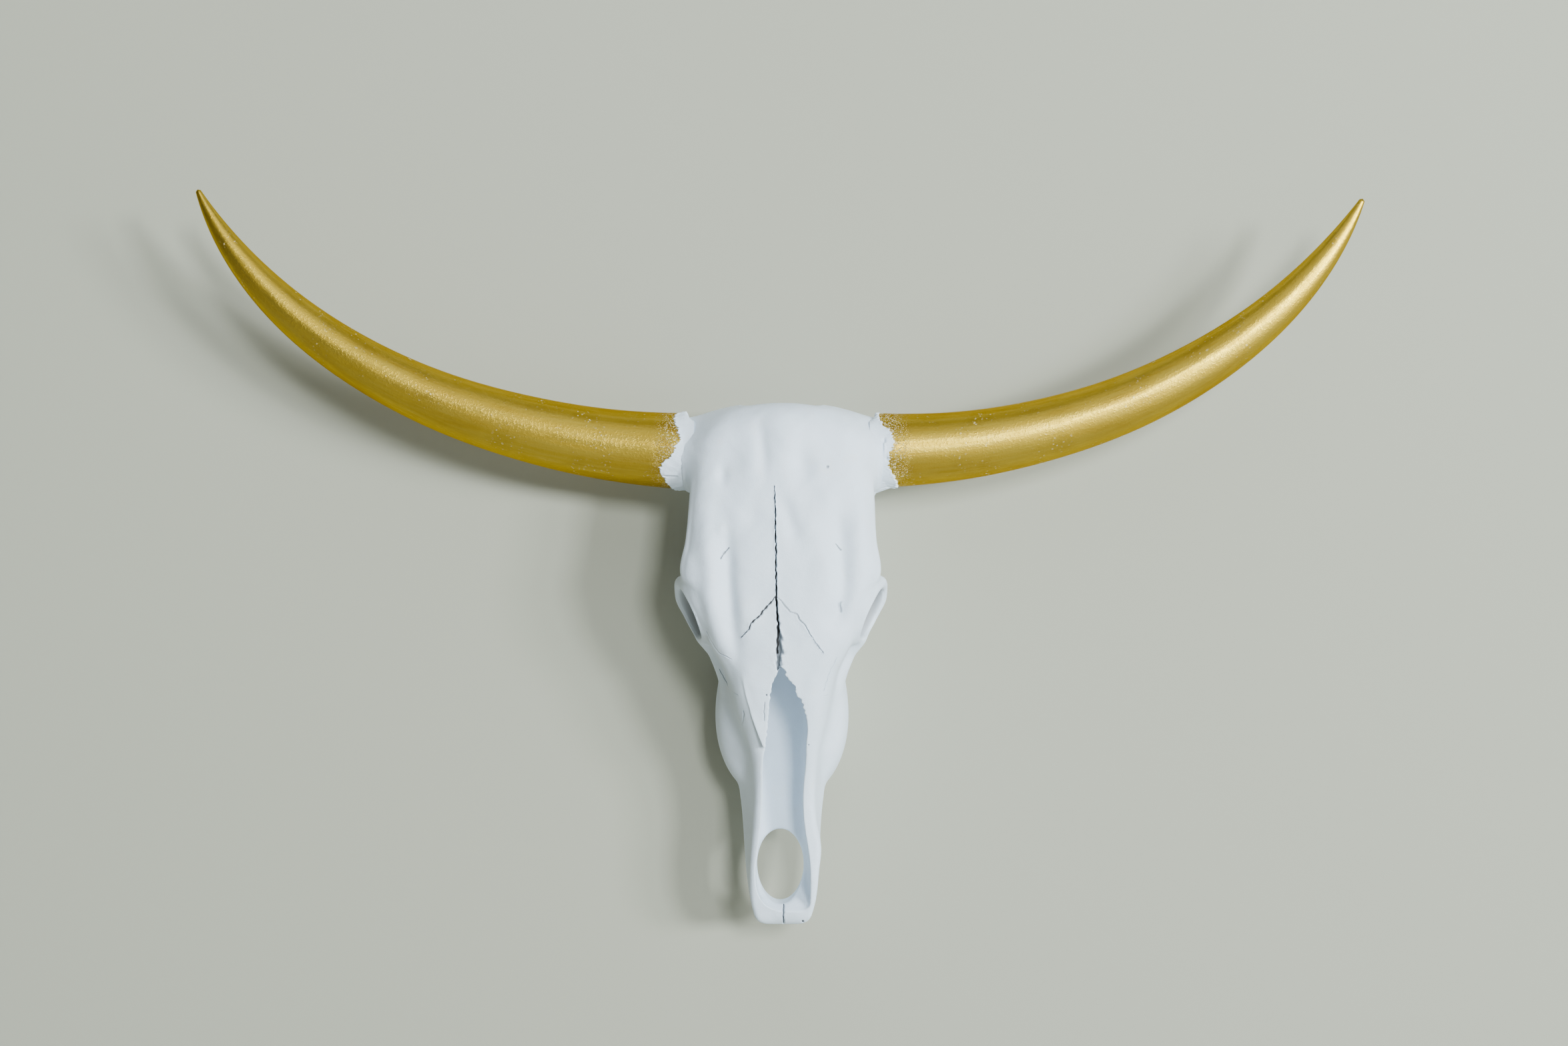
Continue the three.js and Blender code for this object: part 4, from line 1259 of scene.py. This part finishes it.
    def surface(self, angle: Array, share: Array) -> Array:
        """Places the collar's surface.

        Args:
            angle: Angle round the horn, in radians.
            share: Share of the way along the section, from the root over the lip and back inside.

        Returns:
            An array of n by 3 places in millimetres.
        """
        edge = self.reach(angle)
        over = np.clip(share / self.LIP_STARTS, 0, 1)
        lip = np.clip((share - self.LIP_STARTS) / self.LIP_SHARE, 0, 1)
        back = np.clip((share - self.LIP_ENDS) / self.LIP_SHARE, 0, 1)
        start = self.start(angle)
        x = mix(start, edge - self.lip_reach, over**0.85)
        radius = self.flare(x, angle)
        raised = 0.35 + 0.25 * self.ripple(angle, (29, 47, 71), 0.3)
        radius = radius + raised * np.exp(-(((edge - x) / 1.6) ** 2)) + self.relief(x, angle)
        turn = lip * math.pi * 0.75
        x = x + self.lip_reach * np.sin(turn)
        radius = radius - self.lip_height * (1 - np.cos(turn)) * self.lip_reach
        x = mix(x, start, back)
        root = self.root.at(np.degrees(angle))
        radius = mix(radius, root - 4, back)
        radius = np.where(share >= 1, root, radius)
        return self.place(x, radius, angle)

    def place(self, x: Array, radius: Array, angle: Array) -> Array:
        """Returns places of n by 3, in millimetres, at those distances out and round the axis."""
        depth = self.shape.DEPTH + radius * np.cos(angle)
        height = self.height(x) + radius * np.sin(angle)
        return np.stack([self.side * x, -depth, height], axis=-1)

    def build(self) -> bpy.types.Object:
        """Returns the finished collar."""
        name = self.shape.side.name.lower()
        bm, shares = wrapped_grid(58, self.columns)
        angle = (shares[:, 0] * 2 - 1) * math.pi
        mesh = closed_surface(bm, self.surface(angle, shares[:, 1]), f"torn_collar_{name}")
        smooth_shading(mesh, 70)
        piece = new_piece(mesh.name, mesh)
        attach(piece, "root")
        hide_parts(f"horn_core_{name}")
        return piece


@dataclass
class Horn:
    """One gilded horn, swept from inside its collar to its tip."""

    shape: HornShape
    collar: Collar
    root_x: float = 89.0
    rows: int = 330
    columns: int = 120
    tip_length: float = 2.0
    tuck: float = 2.2

    def unevenness(self, angle: Array, run: Array) -> Array:
        """Returns how far the surface lies below the plain round form, in millimetres."""
        fade = np.clip(1 - run / self.shape.length, 0, 1)
        phase = 1.7 * self.shape.side.value
        waves = 0.4 * np.sin(run / 47 + 2 * angle + phase) + 0.3 * np.sin(run / 26 - angle)
        ribs = 0.14 * np.sin(7 * angle + run / 90) + 0.1 * np.sin(11 * angle - run / 60 + phase)
        near_root = np.exp(-np.maximum(run, 0) / 18)
        crust = near_root * np.sin(run / 1.7 + 3 * np.sin(9 * angle)) * np.sin(17 * angle + run / 3)
        return 0.95 + waves * (0.3 + 0.7 * fade) + ribs * fade + 0.25 * crust

    def surface(self, angle: Array, share: Array) -> tuple[Array, Array]:
        """Places the horn's surface.

        Args:
            angle: Angle round the horn, in radians.
            share: Share of the way from the root to the tip.

        Returns:
            Places in millimetres, and the same places with the horn straightened out.
        """
        shape = self.shape
        root_run = self.root_x - shape.START_X
        run = mix(root_run, shape.length, share)
        count = 600
        centres, headings = shape.centre_line(count)
        step = np.clip(run / shape.length, 0, 1) * count
        base = np.clip(step.astype(int), 0, count - 1)
        part = (step - base)[:, None]
        centre = mix(centres[base], centres[base + 1], part)
        heading = mix(headings[base], headings[base + 1], part)
        centre[:, 0] += np.minimum(run, 0)
        heading[run < 0] = (1, 0, 0)
        up = np.stack([-heading[:, 2], np.zeros(len(run)), heading[:, 0]], axis=-1)
        up /= np.linalg.norm(up, axis=-1)[:, None]
        out = np.cross(up, heading)
        out /= np.linalg.norm(out, axis=-1)[:, None]
        out *= np.sign(-out[:, 1])[:, None]
        radius = self.radius(angle, run, np.abs(centre[:, 0]))
        spoke = out * np.cos(angle)[:, None] + up * np.sin(angle)[:, None]
        point = centre + spoke * radius[:, None]
        point[:, 0] *= shape.side.value
        straight = np.stack([radius * np.cos(angle), radius * np.sin(angle), run], axis=-1)
        return point, straight

    def radius(self, angle: Array, run: Array, x: Array) -> Array:
        """Returns the radius: full in the open, and drawn in under the collar and at the tip."""
        shape = self.shape
        full = shape.radius_at(run / shape.length) - self.unevenness(angle, run) * 0.5
        edge = self.collar.reach(angle)
        under = self.collar.flare(x, angle) - self.tuck
        shown = ease(x, edge - 3.0, edge - 1.0)
        full = mix(np.minimum(full, under), full, shown)
        to_tip = np.clip((shape.length - run) / self.tip_length, 0, 1)
        return np.maximum(full, 0.5) * np.sqrt(np.maximum(1 - (1 - to_tip) ** 2, 0))

    def build(self) -> bpy.types.Object:
        """Returns the finished horn, with its straightened places as an attribute."""
        name = self.shape.side.name.lower()
        bm, shares = wrapped_grid(self.rows, self.columns)
        angle = (shares[:, 0] * 2 - 1) * math.pi
        points, straight = self.surface(angle, shares[:, 1])
        layer = bm.verts.layers.float_vector.new("straightened")
        for vertex, place in zip(bm.verts, straight):
            vertex[layer] = Vector(place) * MM
        mesh = closed_surface(bm, points, f"gilded_horn_{name}")
        smooth_shading(mesh, 60)
        piece = new_piece(mesh.name, mesh)
        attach(piece, "root")
        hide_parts(f"horn_{name}")
        return piece


# ------------------------------------------------------------------------------- finishes
Colour = tuple[float, float, float, float]
Socket = bpy.types.NodeSocket
SocketValue = Socket | float | Colour | tuple[float, float, float]


class Graph:
    """A node tree that is laid out as its nodes are added."""

    def __init__(self, tree: bpy.types.NodeTree) -> None:
        """Starts on an empty tree."""
        self.tree = tree
        tree.nodes.clear()

    def add(self, kind: str, name: str, inputs: dict | None = None, **settings: object) -> bpy.types.Node:
        """Adds a node.

        Args:
            kind: The node's type.
            name: What the node is for.
            inputs: A value or another node's socket for each named or numbered input.
            settings: The node's own settings.

        Returns:
            The new node.
        """
        node = self.tree.nodes.new(kind)
        node.name = node.label = name
        node.location = (220 * (len(self.tree.nodes) % 12), -240 * (len(self.tree.nodes) // 12))
        for setting, value in settings.items():
            setattr(node, setting, value)
        for key, value in (inputs or {}).items():
            self.feed(node.inputs[key], value)
        return node

    def feed(self, socket: Socket, value: SocketValue) -> None:
        """Links a socket to another, or sets its own value."""
        if isinstance(value, Socket):
            self.tree.links.new(value, socket)
        else:
            socket.default_value = value

    def spread(self, name: str, value: Socket, low: float, high: float,
               to_low: float = 0.0, to_high: float = 1.0) -> Socket:
        """Stretches a range of values smoothly over another.

        Args:
            name: What the result is for.
            value: The value to stretch.
            low: Start of its range.
            high: End of its range.
            to_low: What the start becomes.
            to_high: What the end becomes.

        Returns:
            The stretched value.
        """
        limits = {"Value": value, "From Min": low, "From Max": high, "To Min": to_low, "To Max": to_high}
        node = self.add("ShaderNodeMapRange", name, limits, interpolation_type="SMOOTHSTEP")
        return node.outputs["Result"]

    def blend(self, name: str, share: SocketValue, first: SocketValue, second: SocketValue) -> Socket:
        """Blends two colours.

        Args:
            name: What the result is for.
            share: How much of the second colour there is.
            first: The first colour.
            second: The second colour.

        Returns:
            The blended colour.
        """
        node = self.add("ShaderNodeMix", name, data_type="RGBA")
        self.feed(node.inputs[0], share)
        self.feed(node.inputs[6], first)
        self.feed(node.inputs[7], second)
        return node.outputs[2]

    def times(self, name: str, first: SocketValue, second: SocketValue) -> Socket:
        """Multiplies two values that change over the surface."""
        return self.add("ShaderNodeMath", name, {0: first, 1: second}, operation="MULTIPLY").outputs[0]

    def bump(self, name: str, height: Socket, distance: float, strength: float,
             below: Socket | None = None) -> Socket:
        """Adds relief to the shading.

        Args:
            name: What the relief is.
            height: Height of the relief.
            distance: The height of 1, in metres.
            strength: How strongly it shows.
            below: The normal that it lies on.

        Returns:
            The new normal.
        """
        inputs = {"Height": height, "Distance": distance, "Strength": strength}
        node = self.add("ShaderNodeBump", name, inputs)
        if below is not None:
            self.feed(node.inputs["Normal"], below)
        return node.outputs["Normal"]

    def attribute(self, name: str, output: str) -> Socket:
        """Reads one of the mesh's own attributes."""
        return self.add("ShaderNodeAttribute", name, attribute_name=name).outputs[output]

    def stretched(self, name: str, place: Socket, share: float) -> Socket:
        """Draws a pattern out along Z, so that it changes only that share as fast."""
        return self.add("ShaderNodeMapping", name, {"Vector": place, "Scale": (1, 1, share)}).outputs[0]

    def finish(self, surface: Socket) -> None:
        """Ends a material with its output."""
        self.add("ShaderNodeOutputMaterial", "output", {"Surface": surface})

    def principled(self, name: str, inputs: dict[str, SocketValue]) -> None:
        """Ends a material with the shader that has these inputs."""
        self.finish(self.add("ShaderNodeBsdfPrincipled", name, inputs).outputs[0])


def mask_group(name: str, kind: str, settings: dict[str, float]) -> bpy.types.NodeTree:
    """Builds a group that takes a place, a scale and a range, and gives a mask of a texture.

    Args:
        name: The group's name.
        kind: The texture node's type.
        settings: The texture's own values.

    Returns:
        The group.
    """
    tree = bpy.data.node_groups.new(name, "ShaderNodeTree")
    tree.interface.new_socket("Place", in_out="INPUT", socket_type="NodeSocketVector")
    for label in ("Scale", "Start", "End"):
        tree.interface.new_socket(label, in_out="INPUT", socket_type="NodeSocketFloat")
    tree.interface.new_socket("Mask", in_out="OUTPUT", socket_type="NodeSocketFloat")
    graph = Graph(tree)
    given = graph.add("NodeGroupInput", "inputs").outputs
    texture = graph.add(kind, "texture", {"Vector": given["Place"], "Scale": given["Scale"], **settings})
    limits = {"Value": texture.outputs[0], "From Min": given["Start"], "From Max": given["End"]}
    mask = graph.add("ShaderNodeMapRange", "contrast", limits, interpolation_type="SMOOTHSTEP")
    graph.add("NodeGroupOutput", "result", {"Mask": mask.outputs["Result"]})
    return tree


@dataclass
class SharedEffects:
    """The node groups that several finishes use."""

    def __post_init__(self) -> None:
        """Builds the groups once."""
        self.patches = mask_group("uneven_patches", "ShaderNodeTexNoise", {"Detail": 5.0, "Roughness": 0.6})
        self.specks = mask_group("scattered_specks", "ShaderNodeTexVoronoi", {})

    def mask(self, graph: Graph, group: bpy.types.NodeTree, name: str, place: Socket,
             scale: float, start: float, end: float) -> Socket:
        """Places one of the groups in a material.

        Args:
            graph: The material's graph.
            group: The shared group.
            name: What the mask is for.
            place: The coordinates it is worked out from.
            scale: How fine it is, per metre.
            start: Where the mask begins to rise.
            end: Where it is full.

        Returns:
            The mask.
        """
        node = graph.add("ShaderNodeGroup", name)
        node.node_tree = group
        for key, value in {"Place": place, "Scale": scale, "Start": start, "End": end}.items():
            graph.feed(node.inputs[key], value)
        return node.outputs["Mask"]


def new_material(name: str) -> tuple[bpy.types.Material, Graph]:
    """Starts a material with an empty graph."""
    material = bpy.data.materials.new(name)
    material.use_nodes = True
    return material, Graph(material.node_tree)


@dataclass(frozen=True)
class WhiteResin:
    """Matt bluish-white paint on cast resin, with painted shade and dirt in its cracks and painted shade in
    its eye sockets.
    """

    paint: Colour = (0.69, 0.775, 0.865, 1)
    pale_paint: Colour = (0.74, 0.83, 0.92, 1)
    # Near-black painted shade, with dirt, for the bottoms of the cracks.
    dirt_and_crack_shade: Colour = (0.06, 0.056, 0.056, 1)
    warm: Colour = (0.76, 0.75, 0.70, 1)
    # Warm grey painted shade for the inside of the eye sockets.
    hollow: Colour = (0.36, 0.34, 0.32, 1)

    def material(self, effects: SharedEffects) -> bpy.types.Material:
        """Returns the material."""
        material, graph = new_material("white_resin_paint")
        place = graph.add("ShaderNodeTexCoord", "place").outputs["Object"]
        clouds = effects.mask(graph, effects.patches, "clouds", place, 17, 0.35, 0.68)
        stains = effects.mask(graph, effects.patches, "stains", place, 61, 0.56, 0.85)
        grain = effects.mask(graph, effects.patches, "grain", place, 900, 0.2, 0.8)
        orange_peel = effects.mask(graph, effects.patches, "brush", place, 150, 0.2, 0.8)
        pores = effects.mask(graph, effects.specks, "pores", place, 260, 0.03, 0.16)
        crack_shade = graph.attribute("crack_shade", "Fac")
        socket_shade = graph.attribute("socket_shade", "Fac")
        colour = graph.blend("paint", clouds, self.paint, self.pale_paint)
        colour = graph.blend("warm stains", graph.times("faint", stains, 0.3), colour, self.warm)
        # Painted shade and dirt darken the cracks.
        colour = graph.blend("painted shade and dirt in cracks", crack_shade, colour, self.dirt_and_crack_shade)
        # Painted shade darkens the inside of the eye sockets.
        colour = graph.blend("painted socket shade", graph.times("soft socket shade", socket_shade, 0.75), colour, self.hollow)
        rough = graph.spread("roughness", clouds, 0, 1, 0.5, 0.62)
        normal = graph.bump("orange peel", orange_peel, 0.00032, 0.4)
        normal = graph.bump("pores", pores, 0.0002, 0.35, normal)
        normal = graph.bump("grain", grain, 0.00012, 0.5, normal)
        inputs = {"Base Color": colour, "Roughness": rough, "Normal": normal, "Specular IOR Level": 0.42}
        graph.principled("paint surface", inputs)
        return material


@dataclass(frozen=True)
class GoldPaint:
    """Metallic gold paint, brushed lengthwise, worn to brown and crusty beside the collar."""

    gold: Colour = (0.50, 0.33, 0.032, 1)
    deep: Colour = (0.33, 0.19, 0.015, 1)
    olive: Colour = (0.26, 0.16, 0.013, 1)
    pale: Colour = (0.68, 0.51, 0.085, 1)
    flake: Colour = (0.82, 0.72, 0.42, 1)
    rust: Colour = (0.30, 0.15, 0.012, 1)
    edge_tint: Colour = (0.80, 0.62, 0.22, 1)

    def material(self, effects: SharedEffects) -> bpy.types.Material:
        """Returns the material."""
        material, graph = new_material("gold_horn_paint")
        place = graph.attribute("straightened", "Vector")
        lengthwise = graph.stretched("lengthwise", place, 0.06)
        smeared = graph.stretched("smeared", place, 0.3)
        run = graph.add("ShaderNodeSeparateXYZ", "run", {0: place}).outputs["Z"]
        streaks = effects.mask(graph, effects.patches, "streaks", lengthwise, 240, 0.3, 0.72)
        bands = effects.mask(graph, effects.patches, "bands", smeared, 36, 0.4, 0.7)
        blotches = effects.mask(graph, effects.patches, "blotches", place, 34, 0.46, 0.66)
        specks = effects.mask(graph, effects.specks, "specks", place, 260, 0.36, 0.2)
        grit = effects.mask(graph, effects.patches, "grit", place, 420, 0.45, 0.7)
        crust = effects.mask(graph, effects.patches, "crust", place, 700, 0.52, 0.6)
        worn = effects.mask(graph, effects.patches, "worn", place, 120, 0.42, 0.6)
        near_root = graph.spread("near the collar", run, 0.002, 0.03, 1, 0)
        flakes = graph.times("flakes", crust, near_root)
        rare = graph.times("rare specks", graph.times("broken specks", specks, grit), blotches)
        colour = graph.blend("gold and brown", graph.times("soft bands", bands, 0.45), self.gold, self.deep)
        colour = graph.blend("blotches", graph.times("soft blotches", blotches, 0.2), colour, self.olive)
        colour = graph.blend("brushed", graph.times("soft streaks", streaks, 0.3), colour, self.pale)
        rusty = graph.times("worn by the collar", worn, near_root)
        colour = graph.blend("rust", graph.times("soft rust", rusty, 0.45), colour, self.rust)
        colour = graph.blend("pale specks", rare, colour, self.flake)
        colour = graph.blend("crust flakes", graph.times("soft flakes", flakes, 0.8), colour, self.flake)
        rough = graph.spread("roughness", streaks, 0, 1, 0.41, 0.34)
        spots = graph.add("ShaderNodeMath", "pale spots", {0: flakes, 1: rare}, operation="MAXIMUM")
        metal = graph.spread("metal", spots.outputs[0], 0, 1, 0.97, 0.2)
        normal = graph.bump("streak relief", streaks, 0.0002, 0.3)
        normal = graph.bump("grit relief", grit, 0.00018, 0.4, normal)
        normal = graph.bump("flake relief", flakes, 0.0007, 0.7, normal)
        inputs = {"Base Color": colour, "Roughness": rough, "Metallic": metal, "Normal": normal}
        graph.principled("gold surface", {**inputs, "Specular Tint": self.edge_tint})
        return material


@dataclass(frozen=True)
class HangerSteel:
    """Zinc-plated sheet steel, with crystals in the plating and fine scratches."""

    zinc: Colour = (0.56, 0.57, 0.58, 1)
    dark_zinc: Colour = (0.36, 0.37, 0.39, 1)

    def material(self, effects: SharedEffects) -> bpy.types.Material:
        """Returns the material."""
        material, graph = new_material("zinc_plated_steel")
        place = graph.add("ShaderNodeTexCoord", "place").outputs["Object"]
        drawn = graph.stretched("drawn", place, 0.03)
        crystals = effects.mask(graph, effects.patches, "crystals", place, 210, 0.35, 0.65)
        scratches = effects.mask(graph, effects.patches, "scratches", drawn, 1500, 0.3, 0.75)
        colour = graph.blend("plating", crystals, self.zinc, self.dark_zinc)
        rough = graph.spread("roughness", crystals, 0, 1, 0.32, 0.5)
        normal = graph.bump("scratch relief", scratches, 0.00005, 0.5)
        inputs = {"Base Color": colour, "Roughness": rough, "Normal": normal, "Metallic": 1.0}
        graph.principled("steel surface", inputs)
        return material


# ------------------------------------------------------------------------------- stage and camera
@dataclass(frozen=True)
class SoftLight:
    """A square soft light, with its place and side in metres and its power in watts."""

    name: str
    place: tuple[float, float, float]
    size: float
    power: float


SOFT_LIGHTS = (
    SoftLight("key", (5.6, -6.5, 0.85), 1.2, 730),
    SoftLight("side", (6.6, -5.3, 0.85), 1.2, 390),
    SoftLight("front", (1.7, -5.6, 1.25), 1.1, 330),
    SoftLight("top", (-0.1, -1.5, 1.9), 1.8, 12),
    SoftLight("back", (0.4, 2.2, 0.9), 1.8, 30),
)


@dataclass
class Studio:
    """Pale floor, pale wall, soft lights and the camera."""

    wall_colour: Colour = (0.365, 0.364, 0.290, 1)
    floor_colour: Colour = (0.52, 0.52, 0.49, 1)
    light_colour: tuple[float, float, float] = (0.875, 0.955, 1.0)
    light_aim: tuple[float, float, float] = (0, -0.05, -0.1)
    surroundings: Colour = (0.66, 0.60, 0.46, 1)
    surroundings_strength: float = 0.09
    floor_z: float = -0.9
    floor_size: float = 6.0
    wall_size: float = 5.0
    wall_gap: float = 0.001
    camera_place: tuple[float, float, float] = (0.002, -2.1, -0.069)
    focal_length: float = 47.87

    def plane(self, name: str, size: float, place: Matrix, material: bpy.types.Material) -> bpy.types.Object:
        """Makes one flat surface of the stage."""
        bm = bmesh.new()
        bmesh.ops.create_grid(bm, x_segments=1, y_segments=1, size=size, matrix=place)
        mesh = bpy.data.meshes.new(name)
        bm.to_mesh(mesh)
        bm.free()
        mesh.materials.append(material)
        surface = new_piece(name, mesh)
        return surface

    def plaster(self, name: str, colour: Colour, one_sided: bool) -> bpy.types.Material:
        """Makes a plain matt surface, which can be seen through from behind if it is one-sided."""
        material, graph = new_material(name)
        shader = graph.add("ShaderNodeBsdfPrincipled", "plaster", {"Base Color": colour, "Roughness": 0.9})
        surface = shader.outputs[0]
        if one_sided:
            behind = graph.add("ShaderNodeNewGeometry", "side").outputs["Backfacing"]
            clear = graph.add("ShaderNodeBsdfTransparent", "clear")
            inputs = {0: behind, 1: surface, 2: clear.outputs[0]}
            surface = graph.add("ShaderNodeMixShader", "one-sided", inputs).outputs[0]
        graph.finish(surface)
        return material

    def build_stage(self) -> None:
        """Sets up the floor and the wall."""
        floor = Matrix.Translation((0, 0, self.floor_z))
        self.plane("floor", self.floor_size, floor, self.plaster("pale_floor", self.floor_colour, False))
        upright = Matrix.Translation((0, self.wall_gap, 0)) @ Matrix.Rotation(math.radians(90), 4, "X")
        plaster = self.plaster("pale_wall", self.wall_colour, True)
        wall = self.plane("wall", self.wall_size, upright, plaster)
        wall.visible_shadow = False

    def hang(self, light: SoftLight) -> None:
        """Adds one of the soft lights and turns it to the skull."""
        lamp = bpy.data.lights.new(light.name, "AREA")
        lamp.size = light.size
        lamp.energy = light.power
        lamp.color = self.light_colour
        place = Vector(light.place)
        fitting = bpy.data.objects.new(light.name, lamp)
        fitting.location = place
        turn = (Vector(self.light_aim) - place).to_track_quat("-Z", "Y")
        fitting.rotation_euler = turn.to_euler()
        bpy.context.scene.collection.objects.link(fitting)

    def build_lights(self) -> None:
        """Sets up the soft lights and the dim surroundings."""
        for light in SOFT_LIGHTS:
            self.hang(light)
        world = bpy.data.worlds.new("surroundings")
        world.use_nodes = True
        background = world.node_tree.nodes["Background"].inputs
        background["Color"].default_value = self.surroundings
        background["Strength"].default_value = self.surroundings_strength
        bpy.context.scene.world = world

    def build_camera(self) -> None:
        """Puts the camera in front of the forehead, level and square to the wall."""
        lens = bpy.data.cameras.new("camera")
        lens.lens = self.focal_length
        lens.sensor_width = 36
        camera = bpy.data.objects.new("camera", lens)
        camera.location = self.camera_place
        camera.rotation_euler = (math.radians(90), 0, 0)
        bpy.context.scene.collection.objects.link(camera)
        bpy.context.scene.camera = camera

    def build(self) -> None:
        """Sets up everything round the skull."""
        self.build_stage()
        self.build_lights()
        self.build_camera()


def dress(piece: bpy.types.Object, material: bpy.types.Material) -> None:
    """Gives a whole piece one material."""
    if not piece.data.materials:
        piece.data.materials.append(material)
    for slot in piece.material_slots:
        slot.material = material


def main() -> None:
    """Builds every piece, dresses it and sets up the studio."""
    logging.basicConfig(level=logging.INFO, format="%(message)s")
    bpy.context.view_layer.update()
    effects = SharedEffects()
    white = WhiteResin().material(effects)
    gold = GoldPaint().material(effects)
    steel = HangerSteel().material(effects)
    skull = SkullCast().build()
    dress(skull, white)
    log.info("skull: %d faces", len(skull.data.polygons))
    for side in Side:
        collar = Collar(HORN_SHAPES[side])
        horn = Horn(HORN_SHAPES[side], collar).build()
        dress(horn, gold)
        edge = collar.build()
        dress(edge, white)
        for piece in (horn, edge):
            log.info("%s: %d faces", piece.name, len(piece.data.polygons))
    for name in ("hanger_plate", "hanger_screw_upper", "hanger_screw_lower"):
        dress(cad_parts[name], steel)
        log.info("%s: kept and dressed", name)
    Studio().build()


if __name__ == "__main__":
    main()
